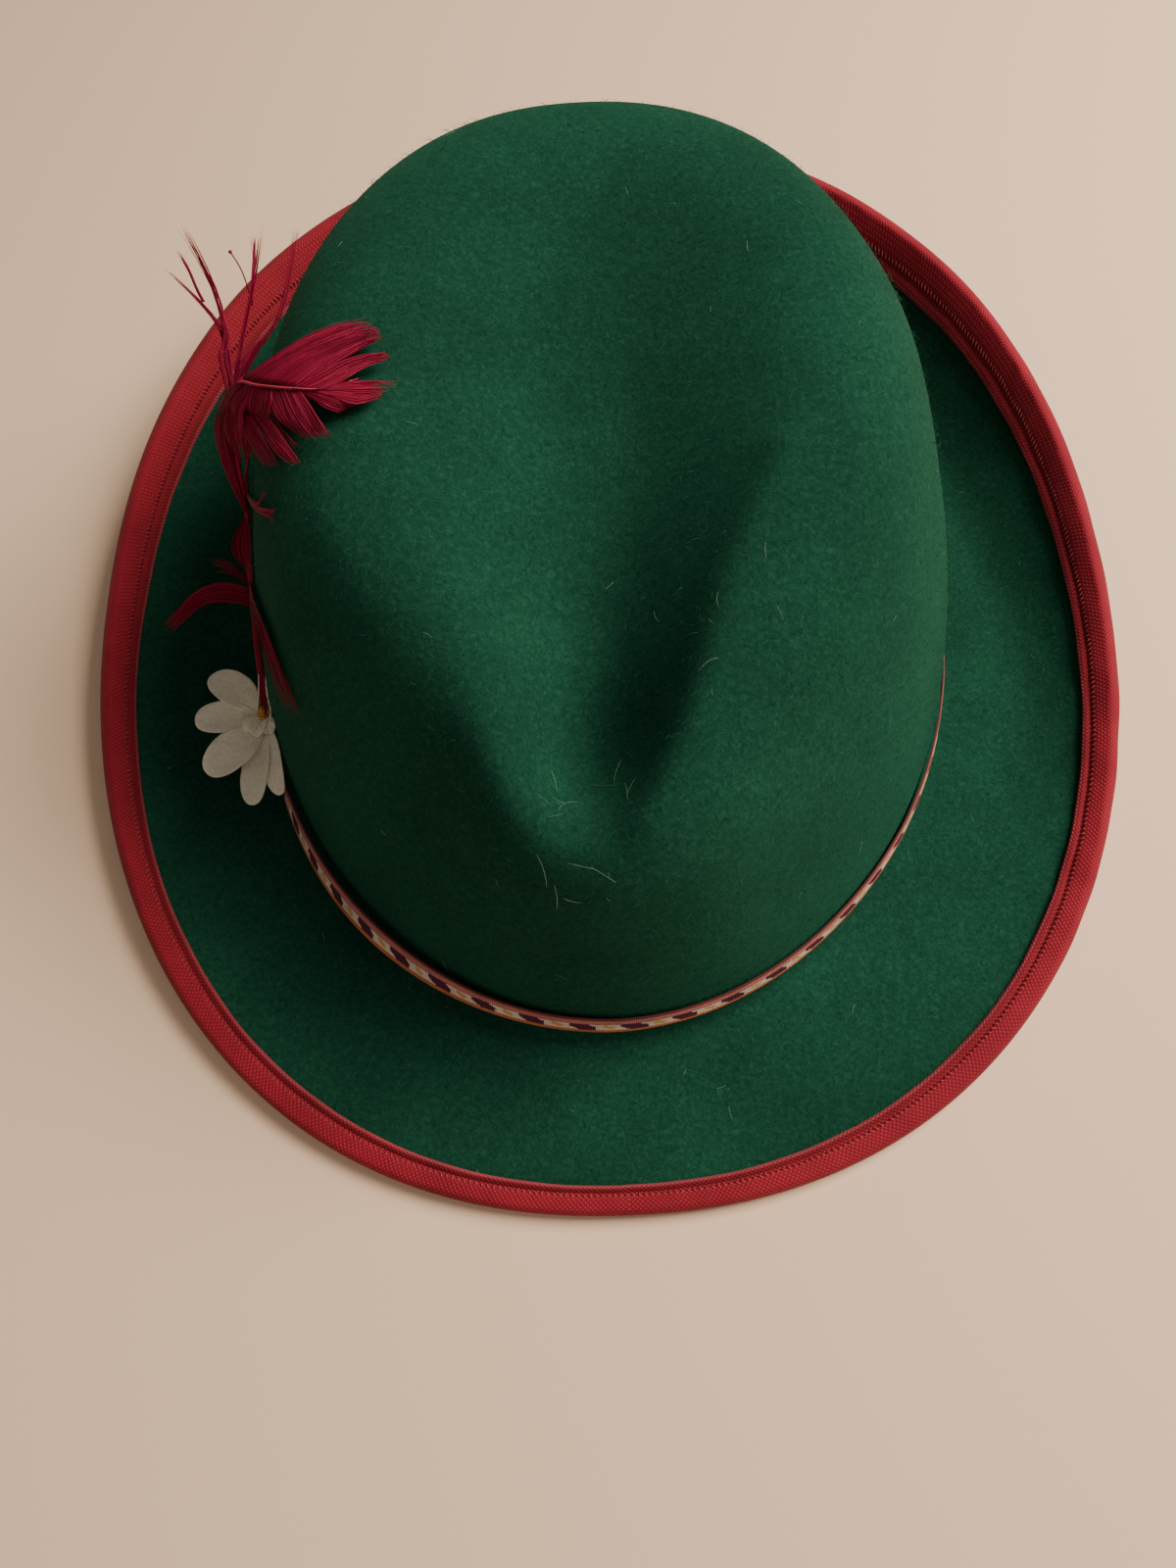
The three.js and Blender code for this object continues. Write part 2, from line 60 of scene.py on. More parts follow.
ahead = np.array([
    -np.sin(camera_turn) * np.cos(camera_dip),
    np.cos(camera_turn) * np.cos(camera_dip),
    -np.sin(camera_dip),
])
level = np.array([np.cos(camera_turn), np.sin(camera_turn), 0.0])
above = np.cross(level, ahead)
to_right = np.cos(camera_roll) * level + np.sin(camera_roll) * above
to_top = np.cos(camera_roll) * above - np.sin(camera_roll) * level
camera = bpy.data.objects.new("camera", bpy.data.cameras.new("camera"))
camera.data.sensor_width, camera.data.lens = camera_film, camera_lens
camera.data.clip_start = camera_near
stood(camera, to_right, to_top, -ahead, camera_place)
bpy.context.scene.camera = camera

# Soft light: a large lamp overhead to the right, a weak broad one in front and a pale room.
hat_middle = np.array([0.0, 0.0, 0.03])


def unit(v):
    """Vectors of length 1 along the given ones."""
    return v / np.maximum(np.linalg.norm(v, axis=-1, keepdims=True), 1e-9)


def lamp(name, place, size, power, colour):
    """A square area light at a place in metres, its face turned to the hat's middle."""
    data = bpy.data.lights.new(name, "AREA")
    data.size, data.energy, data.color = size, power, colour
    back = unit(np.array(place) - hat_middle)
    side = unit(np.cross([0.0, 1.0, 0.0], back))
    stood(bpy.data.objects.new(name, data), side, np.cross(back, side), back, place)


lamp("key_light", (0.64, 0.17, 0.76), 0.54, 18.0, (1.0, 0.93, 0.83))
lamp("fill_light", (0.3, -0.8, 0.8), 0.8, 1.9, (1.0, 0.96, 0.9))
room = bpy.data.worlds.new("room")
room.use_nodes = True
room_light = room.node_tree.nodes["Background"].inputs
room_light["Color"].default_value = (1.0, 0.95, 0.88, 1.0)
room_light["Strength"].default_value = 0.18
bpy.context.scene.world = room

# The floor is a plain pale table top, wide enough to fill every view.
floor_colour, floor_half = (0.84, 0.585, 0.40, 1.0), 2000.0


def new_material(name, **constants):
    """A node material and its shader. Constants go to the shader's own sockets."""
    material = bpy.data.materials.new(name)
    material.use_nodes = True
    shader = material.node_tree.nodes["Principled BSDF"]
    for socket, value in constants.items():
        shader.inputs[socket.replace("_", " ")].default_value = value
    return material, shader


def new_piece(name, points, faces):
    """A smooth mesh object in the scene, from points in millimetres."""
    mesh = bpy.data.meshes.new(name)
    mesh.from_pydata((points * millimetre).tolist(), [], faces)
    mesh.polygons.foreach_set("use_smooth", np.ones(len(mesh.polygons), bool))
    piece = bpy.data.objects.new(name, mesh)
    bpy.context.scene.collection.objects.link(piece)
    return piece


floor_corners = np.array([(-1, -1, 0), (1, -1, 0), (1, 1, 0), (-1, 1, 0)])
floor = new_piece("floor", floor_half * floor_corners, [(0, 1, 2, 3)])
floor.data.materials.append(new_material("floor", Base_Color=floor_colour, Roughness=0.75)[0])

# The crown and brim are one piece of dark green wool felt about 2 mm thick, steamed over a block.
# The crease and two pinches are pressed in by hand, and the brim turns up at the sides and back.
felt_thickness = 2.0
crown_half_width, crown_half_length, crown_set_back = 83.5, 105.0, -2.0
crown_height, front_height_share, foot_radius = 106.0, 0.74, 5.0
brim_half_width, brim_half_length, brim_roundness = 123.0, 143.5, 2.2
front_root_lift, side_rise, back_rise, flat_reach = 6.0, 14.0, 33.0, 0.3
side_curl, back_curl = 2.4, 1.6  # how late the brim turns up, as a power of the reach
crease_depth, crease_bend, crease_narrow, crease_wide = 24.0, 6.0, 0.17, 0.5
# Stretches of the crown from its front, 0, to its back, 1: where its ridge climbs, and where the
# crease opens, straightens, starts and fades; and the part of its rise that the crease takes.
ridge_climbs, crease_opens, crease_straightens = (0, 0.675), (0.05, 0.7), (0.05, 0.5)
crease_starts, crease_fades, crease_rise = (0.03, 0.2), (0.45, 0.95), (0.55, 0.95)
# Each pinch's side and depth; then its middle and reach as shares of the crown's size.
pinches = ((-1, 13.0), (1, 8.0))
pinch_middle, pinch_reach = np.array([0.5, -0.68, 0.66]), np.array([0.3, 0.3, 0.32])
pinch_inward, pinch_backward = 0.75, 0.5
crown_size = np.array([crown_half_width, crown_half_length, crown_height])
tape_width, tape_thickness, tape_gap = 5.0, 0.9, 0.45
tape_height = tape_gap + tape_thickness
felt_brim_width = brim_half_width - tape_height - crown_half_width - foot_radius
tape_reach = 1 - tape_width / felt_brim_width

# Shares of the crown's rise, side, front and back from the foot to the top, and its roundness.
crown_rise, crown_side, crown_front, crown_back, crown_roundness = np.array([
    (0, 0.2, 0.41, 0.6, 0.77, 0.9, 0.97, 0.995, 1),
    (1, 0.972, 0.926, 0.87, 0.8, 0.687, 0.53, 0.295, 0),
    (1, 0.98, 0.95, 0.915, 0.875, 0.795, 0.635, 0.355, 0),
    (1, 0.985, 0.965, 0.935, 0.875, 0.76, 0.605, 0.355, 0),
    (1.9, 1.95, 2.03, 2.1, 2.15, 2.15, 2.15, 2.1, 2),
])


def smoothly(table, t):
    """A row of values read at a share t of its length, along the cubic through its neighbours."""
    place = np.clip(t, 0, 1) * (len(table) - 1)
    i = np.minimum(place.astype(int), len(table) - 2)
    s = place - i
    a, b, c, d = (table[np.clip(i + k, 0, len(table) - 1)] for k in (-1, 0, 1, 2))
    return b + 0.5 * s * (c - a + s * (2 * a - 5 * b + 4 * c - d + s * (3 * (b - c) + d - a)))


def step(x, low, high):
    """0 below low and 1 above high, with the smooth cubic between them."""
    s = np.clip((x - low) / (high - low), 0, 1)
    return s * s * (3 - 2 * s)


def mix(a, b, share):
    return a + (b - a) * share


def hump(x):
    """1 at nought and nearly 0 past 2: e to the power of minus x squared."""
    return np.exp(-x * x)


def rounded(v, roundness):
    """A sine or cosine of an oval: 2 is an ellipse, more is squarer."""
    return np.sign(v) * np.abs(v) ** (2 / roundness)


def wander(x, y, z, scale, seed):
    """Slow soft waves in space, between about -1 and 1: a sum of nine sines with mixed headings."""
    dice = np.random.default_rng(seed)
    total = np.zeros(np.broadcast(x, y, z).shape)
    for _ in range(9):
        heading = dice.normal(size=3)
        heading *= dice.uniform(0.6, 1.6) / np.linalg.norm(heading) * 2 * np.pi / scale
        phase = dice.uniform(0, 2 * np.pi)
        total += np.sin(heading[0] * x + heading[1] * y + heading[2] * z + phase)
    return total / 4.5


def crown(angle, climb):
    """The crown's outer face. An oval at each climb, higher towards the back, is lowered by the
    crease along its top and pushed in by the two pinches, each a hump-shaped dent."""
    angle, climb = np.broadcast_arrays(angle, climb)
    a = np.radians(angle)
    rise, side = smoothly(crown_rise, climb), smoothly(crown_side, climb)
    end = np.where(np.cos(a) > 0, smoothly(crown_front, climb), smoothly(crown_back, climb))
    roundness = smoothly(crown_roundness, climb)
    x = crown_half_width * side * rounded(np.sin(a), roundness)
    y = crown_set_back - crown_half_length * end * rounded(np.cos(a), roundness)
    back = (y + crown_half_length) / (2 * crown_half_length)
    ridge = crown_height * mix(front_height_share, 1, step(back, *ridge_climbs))
    z = mix(root_height(angle) + foot_radius, ridge, rise)
    width = crown_half_width * mix(crease_narrow, crease_wide, step(back, *crease_opens))
    middle = -crease_bend * (1 - step(back, *crease_straightens))
    depth = crease_depth * step(back, *crease_starts) * (1 - 0.9 * step(back, *crease_fades))
    z = z - depth * hump((x - middle) / width) * step(rise, *crease_rise)
    for sign, deep in pinches:
        off = np.stack([sign * x, y, z], -1) / crown_size - pinch_middle
        push = deep * hump(np.linalg.norm(off / pinch_reach, axis=-1))
        x, y = x - sign * pinch_inward * push, y + pinch_backward * push
    return np.stack([x, y, z], -1)


def root_height(angle):
    """Height of the brim's upper face where it meets the crown: the front is lifted."""
    return felt_thickness + front_root_lift * np.maximum(np.cos(np.radians(angle)), 0) ** 1.5


def brim(angle, reach):
    """The brim's upper face from its root, reach 0, to its edge, reach 1: straight lines from the
    crown's oval to the edge's, flat at first and then curling up by a power of the reach."""
    angle, reach = np.broadcast_arrays(angle, reach)
    a = np.radians(angle)
    start = crown(angle, np.zeros(angle.shape))
    start[..., 2] = 0
    edge = np.stack([
        (brim_half_width - tape_height) * rounded(np.sin(a), brim_roundness),
        -(brim_half_length - tape_height) * rounded(np.cos(a), brim_roundness),
        np.zeros(angle.shape),
    ], -1)
    point = mix(start + foot_radius * unit(edge - start), edge, reach[..., None])
    back = (1 - np.cos(a)) / 2
    edge_rise = np.where(
        back < 0.5, side_rise * (2 * back) ** 1.5, mix(side_rise, back_rise, 2 * back - 1)
    )
    slope = (root_height(angle) - felt_thickness) * np.maximum(1 - reach, 0) ** 1.3
    room = tape_height * step(reach, flat_reach, tape_reach)
    curl = np.maximum(reach - flat_reach, 0) / (1 - flat_reach)
    curl = curl ** mix(side_curl, back_curl, back)
    point[..., 2] = felt_thickness + slope + room + edge_rise * curl
    return point


def foot(angle, turn):
    """The fillet between brim and crown, a quarter circle: turn 0 is the brim, 1 is the crown."""
    low, high = brim(angle, np.zeros(angle.shape)), crown(angle, np.zeros(angle.shape))
    t = np.radians(90 * turn)[..., None]
    flat, rise = mix(low, high, np.sin(t)), mix(low, high, 1 - np.cos(t))
    return np.concatenate([flat[..., :2], rise[..., 2:]], -1)


# Folds that the hand left round the front of the crease, as lines seen from above: the two ridges
# beside it and its bottom, with how far each rises and how wide it is.
hand_folds = (
    (((35, -20), (23, -43), (14, -70), (6, -85)), 1.6, 4.5),
    (((0, 5), (-1, -34), (-3, -64), (-4, -82)), 0.4, 6.0),
    (((-50, -32), (-38, -53), (-24, -71), (-14, -84)), 1.0, 6.0),
    (((-56, -50), (-44, -66), (-32, -80)), -0.8, 9.0),
)


def off_line(x, y, line):
    """Distance in plan from a line of straight pieces, the least of the distances to its pieces."""
    nearest = np.full(x.shape, np.inf)
    for (ax, ay), (bx, by) in zip(line, line[1:]):
        share = ((x - ax) * (bx - ax) + (y - ay) * (by - ay)) / ((bx - ax) ** 2 + (by - ay) ** 2)
        share = np.clip(share, 0, 1)
        nearest = np.minimum(nearest, np.hypot(x - mix(ax, bx, share), y - mix(ay, by, share)))
    return nearest


def worked(points):
    """Felt that was shaped by hand: slow waves in the crown, folds that rise as humps, and small
    puckers in the brim where the tape draws it in at the right."""
    x, y, z = np.moveaxis(points, -1, 0)
    waves = 0.45 * step(z, 20, 40) * wander(x, y, z, 60, 3)
    folds = sum(high * hump(off_line(x, y, line) / wide) for line, high, wide in hand_folds)
    puckers = 0.24 * step(x, 84, 100) * step(-z, -30, -20) * wander(x, y, z, 13, 12)
    rise = folds * step(z, 42, 58) + puckers
    return points + np.stack([waves * x / 90, waves * y / 110, rise], -1)


def skin(name, rings, chart=None):
    """A mesh over rings of points, an array (ring, place, xyz) in millimetres. A pole closes each
    end, but with a chart the last ring joins the first. The chart is a map's along values, one
    more than the places, and its across values, one more than the rings."""
    count, around = rings.shape[:2]
    rows = count - 1 if chart is None else count
    r, i = (side.ravel() for side in np.indices((rows, around)))
    corners_r = np.stack([r, r + 1, r + 1, r], 1)
    corners_i = np.stack([i, i, i + 1, i + 1], 1)
    faces = ((corners_r % count) * around + corners_i % around).tolist()
    points = rings.reshape(-1, 3)
    if chart is None:
        first, last = np.arange(around), (count - 1) * around + np.arange(around)
        points = np.concatenate([points, [rings[0].mean(0), rings[-1].mean(0)]])
        pole = np.full(around, len(points) - 2)
        faces += np.stack([pole, first, np.roll(first, -1)], 1).tolist()
        faces += np.stack([pole + 1, np.roll(last, -1), last], 1).tolist()
    piece = new_piece(name, points, faces)
    if chart is not None:
        spread = np.stack([chart[0][corners_i], chart[1][corners_r]], -1).ravel()
        piece.data.uv_layers.new(name="weave").data.foreach_set("uv", spread)
    return piece


# The outer face in rings from the middle of the top to the brim's edge, and its outward normals.
felt_around = 300
felt_turn = np.arange(felt_around)[None] * 360.0 / felt_around
felt_outside = worked(np.concatenate([
    crown(felt_turn, 1 - np.linspace(0.012, 1, 74)[:, None] ** 1.15),
    foot(*np.broadcast_arrays(felt_turn, np.linspace(1, 0, 9)[1:-1, None])),
    brim(felt_turn, np.linspace(0, 1, 36)[:, None]),
]))
felt_padded = np.concatenate([felt_outside[:, -1:], felt_outside, felt_outside[:, :1]], 1)
felt_outward = unit(
    np.cross(np.gradient(felt_outside, axis=0), felt_padded[:, 2:] - felt_padded[:, :-2])
)
felt_inside = felt_outside - felt_thickness * felt_outward
felt_piece = skin("felt_body_cloth", np.concatenate([felt_outside, felt_inside[::-1]]))


def node(beside, kind, **values):
    """A node of a kind in the tree of another node, socket or tree. The values are its properties,
    or its inputs where a name starts in_."""
    made = beside.id_data.nodes.new(kind)
    for name, value in values.items():
        if name.startswith("in_"):
            label = name[3:].replace("_", " ")
            made.inputs[int(label) if label.isdigit() else label].default_value = value
        else:
            setattr(made, name, value)
    return made


def place_on(shader):
    """The place on the piece itself, in metres."""
    return node(shader, "ShaderNodeTexCoord").outputs["Object"]


def feed(sockets, values):
    """Links or sets each socket by its value, another socket or a constant."""
    for socket, value in zip(sockets, values):
        if isinstance(value, bpy.types.NodeSocket):
            socket.id_data.links.new(value, socket)
        else:
            socket.default_value = value


def noise(place, scale, detail=4.0):
    """A noise texture; its scale is in waves for each unit of the place."""
    made = node(place, "ShaderNodeTexNoise", in_Detail=detail, in_Roughness=0.6)
    feed((made.inputs["Vector"], made.inputs["Scale"]), (place, scale))
    return made.outputs["Fac"]


def ramp(value, *stops):
    """Colours at places between 0 and 1, blended by a value."""
    made = node(value, "ShaderNodeValToRGB")
    while len(made.color_ramp.elements) < len(stops):
        made.color_ramp.elements.new(0.5)
    for element, (position, colour) in zip(made.color_ramp.elements, stops):
        element.position, element.color = position, (*colour, 1.0)
    feed(made.inputs, [value])
    return made.outputs["Color"]


def blend(share, a, b):
    """Two colours, each a socket or a constant, mixed by a share."""
    made = node(share, "ShaderNodeMix", data_type="RGBA")
    feed((made.inputs[0], made.inputs[6], made.inputs[7]), (share, a, b))
    return made.outputs[2]


def times(a, b):
    """One colour multiplied by another."""
    made = node(a, "ShaderNodeMix", data_type="RGBA", blend_type="MULTIPLY", in_0=1.0)
    feed((made.inputs[6], made.inputs[7]), (a, b))
    return made.outputs[2]


def bumped(shader, height, distance, strength):
    """Raises the shader's surface by a height, whose 1 stands for a distance in metres."""
    made = node(shader, "ShaderNodeBump", in_Strength=strength, in_Distance=distance)
    feed((made.inputs["Height"], shader.inputs["Normal"]), (height, made.outputs["Normal"]))


def sums(way, *terms):
    """One step of arithmetic on a socket and other sockets or numbers."""
    made = node(terms[0], "ShaderNodeMath", operation=way)
    feed(made.inputs, terms)
    return made.outputs[0]


def effect(name, takes, gives):
    """A shader node group that takes a Place and named numbers, and the sockets inside it."""
    tree = bpy.data.node_groups.new(name, "ShaderNodeTree")
    tree.interface.new_socket(name="Place", in_out="INPUT", socket_type="NodeSocketVector")
    for label in takes:
        tree.interface.new_socket(name=label, in_out="INPUT", socket_type="NodeSocketFloat")
    tree.interface.new_socket(name=gives, in_out="OUTPUT", socket_type="NodeSocketFloat")
    return tree, tree.nodes.new("NodeGroupInput").outputs, tree.nodes.new("NodeGroupOutput").inputs


# Uneven dye: a cloud between two shades. Fibre: the tangled height of wool or cotton, 0 to 1.
uneven_dye, dye_in, dye_out = effect("uneven_dye", ("Scale", "Least", "Most"), "Shade")
cloud = node(uneven_dye, "ShaderNodeTexNoise", in_Detail=5.0, in_Roughness=0.6)
spread = node(uneven_dye, "ShaderNodeMapRange", in_1=0.3, in_2=0.7)
fibre, fibre_in, fibre_out = effect("fibre", ("Scale", "Tangle"), "Height")
threads = node(fibre, "ShaderNodeTexNoise", in_Detail=6.0, in_Roughness=0.75)
feed(
    (*(cloud.inputs[name] for name in ("Vector", "Scale")),
     *(spread.inputs[name] for name in ("Value", "To Min", "To Max")), dye_out["Shade"]),
    (dye_in["Place"], dye_in["Scale"], cloud.outputs["Fac"], dye_in["Least"], dye_in["Most"],
     spread.outputs[0]),
)
feed(
    (*(threads.inputs[name] for name in ("Vector", "Scale", "Distortion")), fibre_out["Height"]),
    (fibre_in["Place"], fibre_in["Scale"], fibre_in["Tangle"], threads.outputs["Fac"]),
)


def apply_effect(group, place, **values):
    """Places an effect in a material at a place on the piece, with its own values."""
    made = node(place, "ShaderNodeGroup", node_tree=group)
    feed((made.inputs[name] for name in ("Place", *values)), (place, *values.values()))
    return made.outputs[0]


def dyed(colour, place, scale, least, most):
    """A colour under uneven dye."""
    return times(colour, apply_effect(uneven_dye, place, Scale=scale, Least=least, Most=most))


def paint(shader, colour):
    """Gives the shader its colour."""
    feed([shader.inputs["Base Color"]], [colour])


def put(piece, material, slot, *nodes):
    """Gives a piece its material, hangs it under the root body and hides the model's parts named in
    nodes. The slot is not used.
    """
    piece.data.materials.append(material)
    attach(piece, "root")
    if nodes:
        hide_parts(*nodes)


felt_material, felt_shader = new_material(
    "green_felt", Roughness=0.95, Specular_IOR_Level=0.05, Sheen_Weight=0.08,
    Sheen_Roughness=0.45, Sheen_Tint=(0.15, 0.8, 0.45, 1.0),
)
place = place_on(felt_shader)
felt_wool = apply_effect(fibre, place, Scale=1000.0, Tangle=0.8)
felt_clumps = apply_effect(fibre, place, Scale=260.0, Tangle=1.5)
felt_specks = apply_effect(fibre, place, Scale=1700.0, Tangle=2.5)
felt_green = ramp(
    felt_wool,
    (0.28, (0.003, 0.027, 0.0145)),
    (0.5, (0.0065, 0.047, 0.0265)),
    (0.75, (0.018, 0.084, 0.049)),
)
felt_pale = ramp(felt_specks, (0.62, (0.0, 0.0, 0.0)), (0.8, (0.5, 0.5, 0.5)))
felt_colour = dyed(felt_green, place, 28.0, 0.78, 1.18)
paint(felt_shader, blend(felt_pale, felt_colour, (0.08, 0.2, 0.135, 1.0)))
bumped(felt_shader, sums("ADD", felt_wool, felt_clumps), 0.00035, 0.7)
put(felt_piece, felt_material, "felt", "felt_body")


def toned(piece, tone):
    """Gives a piece's points the tone that its colours follow, one for all or one for each."""
    tint = piece.data.attributes.new("tone", "FLOAT", "POINT")
    tint.data.foreach_set("value", np.broadcast_to(tone, len(piece.data.vertices)).copy())
    return piece


def strips(name, paths, across, half_width, half_thickness, tone):
    """Many thin closed strips, such as hairs and barbs. Each follows its path, an array (strip,
    sample, xyz); its section is a flat diamond, wide along across and thin along the third way."""
    count, samples = paths.shape[:2]
    half_width, half_thickness, tone = (
        np.broadcast_to(each, (count, samples)) for each in (half_width, half_thickness, tone)
    )
    tangent = unit(np.gradient(paths, axis=1))
    across = unit(across - tangent * (across * tangent).sum(-1, keepdims=True))
    wide = across * half_width[..., None]
    thin = np.cross(tangent, across) * half_thickness[..., None]
    points = np.stack([paths + wide, paths + thin, paths - wide, paths - thin], 2)
    s, k = np.indices((samples - 1, 4))
    low, high = 4 * s, 4 * s + 4
    sides = np.stack([low + k, low + (k + 1) % 4, high + (k + 1) % 4, high + k], -1).reshape(-1, 4)
    caps = np.array([[3, 2, 1, 0], np.arange(4) + 4 * (samples - 1)])
    faces = np.concatenate([sides, caps])[None] + 4 * samples * np.arange(count)[:, None, None]
    piece = new_piece(name, points.reshape(-1, 3), faces.reshape(-1, 4).tolist())
    return toned(piece, np.repeat(tone.ravel(), 4))


# The felt's nap: short wool hairs that stand out of its outer face, and longer pale lint that lies
# on it. Each hair starts at a random place of the felt's grid and leans over a random way.
def hairs_on(count, seed, length, lean, samples, middle=(0, 0), within=200):
    """Curved paths that leave the felt's outer face: along a lean in the surface, and up from it.
    They start at random within a distance in plan of a middle, evenly by the felt's area."""
    dice = np.random.default_rng(seed)
    here, next_ring = felt_outside[:-1], felt_outside[1:]
    area = np.linalg.norm(np.cross(next_ring - here, np.roll(here, -1, 1) - here), axis=-1)
    near = np.hypot(here[..., 0] - middle[0], here[..., 1] - middle[1]) < within
    chance = (area * near).ravel()
    r, i = np.divmod(dice.choice(len(chance), count, p=chance / chance.sum()), felt_around)
    share = dice.random((count, 1))
    root = mix(felt_outside[r, i], felt_outside[r + 1, (i + 1) % felt_around], share)
    up = felt_outward[r, i]
    aside = unit(np.cross(up, dice.normal(size=(count, 3))))
    bend = np.cross(up, aside)[:, None]
    t = np.linspace(0, 1, samples)[None, :, None]
    run = dice.uniform(*length, (count, 1, 1))
    curl = dice.uniform(-0.5, 0.5, (count, 1, 1))
    rise = mix(0.6, 0.12, lean) * np.sin(np.pi * 0.5 * t) * (1 - 0.4 * lean * t)
    way = t * aside[:, None] * mix(0.5, 1, lean) + curl * t * t * bend + rise * up[:, None]
    return root[:, None] + run * way, bend + 0 * t


def tone_of(shader):
    """The tone of the piece's points."""
    return node(shader, "ShaderNodeAttribute", attribute_name="tone").outputs["Fac"]


nap_count, nap_half, lint_count, lint_half = 9500, (0.036, 0.03, 0.014), 120, 0.027
nap_paths, nap_across = hairs_on(nap_count, 21, (0.8, 2.5), 0.3, 3)
nap_tone = np.random.default_rng(22).random((nap_count, 1))
nap_piece = strips("felt_nap", nap_paths, nap_across, nap_half, nap_half, nap_tone)
lint_paths, lint_across = (np.concatenate(part) for part in zip(
    hairs_on(lint_count, 23, (0.8, 2.8), 0.95, 6),
    hairs_on(15, 25, (3.0, 7.0), 0.92, 6, (-3, -84), 12),
    hairs_on(10, 26, (1.5, 4.0), 0.92, 6, (24, -42), 20),
))
lint_piece = strips("felt_lint", lint_paths, lint_across, lint_half, lint_half, 0.5)
nap_material, nap_shader = new_material("green_nap", Roughness=0.9, Specular_IOR_Level=0.1)
nap_colour = ramp(tone_of(nap_shader), (0.0, (0.002, 0.045, 0.026)), (1.0, (0.014, 0.13, 0.078)))
paint(nap_shader, nap_colour)
put(nap_piece, nap_material, "felt")
lint_material, lint_shader = new_material("pale_lint", Roughness=0.8)
lint_cloud = noise(place_on(lint_shader), 60.0)
lint_colour = ramp(lint_cloud, (0.35, (0.05, 0.16, 0.11)), (0.65, (0.34, 0.42, 0.34)))
paint(lint_shader, lint_colour)
put(lint_piece, lint_material, "felt")

# The brim's edge is covered by a red cotton tape about 5 mm wide on each face. It is folded over
# the felt and sewn through with one row of stitches, which pull a groove into it.
tape_around = 720
seam_inset, seam_depth, seam_width = 1.8, 0.6, 0.45
tape_steps = np.array([
    0.0, 0.12, 0.35, 0.7, 1.05, 1.3, 1.5, 1.65, 1.8, 1.95, 2.1, 2.3, 2.6, 3.0, 3.5, 4.0, 4.5, 5.0
])
tape_angle = np.arange(tape_around) * 360.0 / tape_around


def felt_edge(angle, inset):
    """The felt's two faces, and its upward and outward directions, at an inset from its edge."""
    reach = 1 - inset / felt_brim_width
    angle, reach = np.broadcast_arrays(angle[None], reach)
    grid = worked(brim(angle, reach))
    down = worked(brim(angle, reach + 0.004)) - worked(brim(angle, reach - 0.004))
    along = worked(brim(angle + 0.3, reach)) - worked(brim(angle - 0.3, reach))
    up = unit(np.cross(down, along))
    return grid, grid - felt_thickness * up, up, unit(np.cross(along, up))


def tape_face(side, steps, lift):
    """One face of the tape: it follows the felt at a height that a wavy inner edge starts."""
    wave = 0.25 * wander(tape_angle, 0, 0, 40, 8) + 0.12 * wander(tape_angle, 0, 0, 9, 9)
    inset = tape_width - steps[:, None] + wave[None] * (1 - step(steps[:, None], 0, 4))
    top, under, up, _ = felt_edge(tape_angle, inset)
    return (top if side > 0 else under) + side * up * lift[:, :, None]


def over_edge(out, high):
    """Half an ellipse round the felt's edge, from the upper face to the lower."""
    top, under, up, away = felt_edge(tape_angle, np.zeros((1, tape_around)))
    middle = (top + under) / 2
    turn = np.radians(90 - np.linspace(0, 180, 11)[1:-1])[:, None, None]
    return middle + out * np.cos(turn) * away + (felt_thickness / 2 + high) * np.sin(turn) * up


def tape_lift(steps, side):
    """Height of the tape's face: a rolled inner edge, the seam's groove and a full outer roll."""
    edge = tape_gap + tape_thickness * np.sqrt(np.clip(steps / 0.35, 0, 1))
    groove = seam_depth * hump((steps - seam_inset) / seam_width)
    fullness = 0.15 * np.sin(np.pi * np.clip((steps - seam_inset) / 3.2, 0, 1))
    pucker = 0.08 * wander(tape_angle, 0, 0, 2.2, 4 + side)
    return (edge - groove + fullness)[:, None] + pucker[None] * step(steps, 0.3, 1.0)[:, None]


lining_steps = np.array([0.0, 1.0, 1.8, 3.0, 5.0])
lining_lift = np.full((len(lining_steps), tape_around), tape_gap)
tape_rings = np.concatenate([
    tape_face(1, tape_steps, tape_lift(tape_steps, 1)),
    over_edge(tape_height, tape_height),
    tape_face(-1, tape_steps, tape_lift(tape_steps, -1))[::-1],
    tape_face(-1, lining_steps, lining_lift),
    over_edge(tape_gap, tape_gap)[::-1],
    tape_face(1, lining_steps, lining_lift)[::-1],
])


def run_of(points):
    """Distance covered along each row of points, as one more value than there are points."""
    legs = np.linalg.norm(np.diff(np.concatenate([points, points[:1]]), axis=0), axis=-1)
    return np.concatenate([[0.0], np.cumsum(legs)])


tape_length, tape_spread = run_of(tape_rings[8]), run_of(tape_rings[:, 0])
tape_piece = skin("brim_binding_cloth", tape_rings, (tape_length, tape_spread))
tape_material, tape_shader = new_material(
    "red_tape", Roughness=0.8, Specular_IOR_Level=0.15, Sheen_Weight=0.04
)


def weave_on(shader):
    """The piece's chart, in millimetres."""
    return node(shader, "ShaderNodeUVMap", uv_map="weave").outputs["UV"]


def waves_along(chart, pitch_along, pitch_across, warp=0.0):
    """Ribs on a chart: a sine whose crests lie a pitch apart along and across it."""
    dot = node(chart, "ShaderNodeVectorMath", operation="DOT_PRODUCT")
    turns = [2 * np.pi / pitch if pitch else 0.0 for pitch in (pitch_along, pitch_across)]
    feed(dot.inputs, (chart, (*turns, 0.0)))
    phase = dot.outputs["Value"]
    if warp:
        phase = sums("MULTIPLY_ADD", noise(chart, 0.8, 2.0), warp, phase)
    return sums("MULTIPLY_ADD", sums("SINE", phase), 0.5, 0.5)


def crossed(way, *pairs):
    """Two sets of ribs put together: multiplied, they are dots where both stand high."""
    return sums(way, *(waves_along(*pair) for pair in pairs))


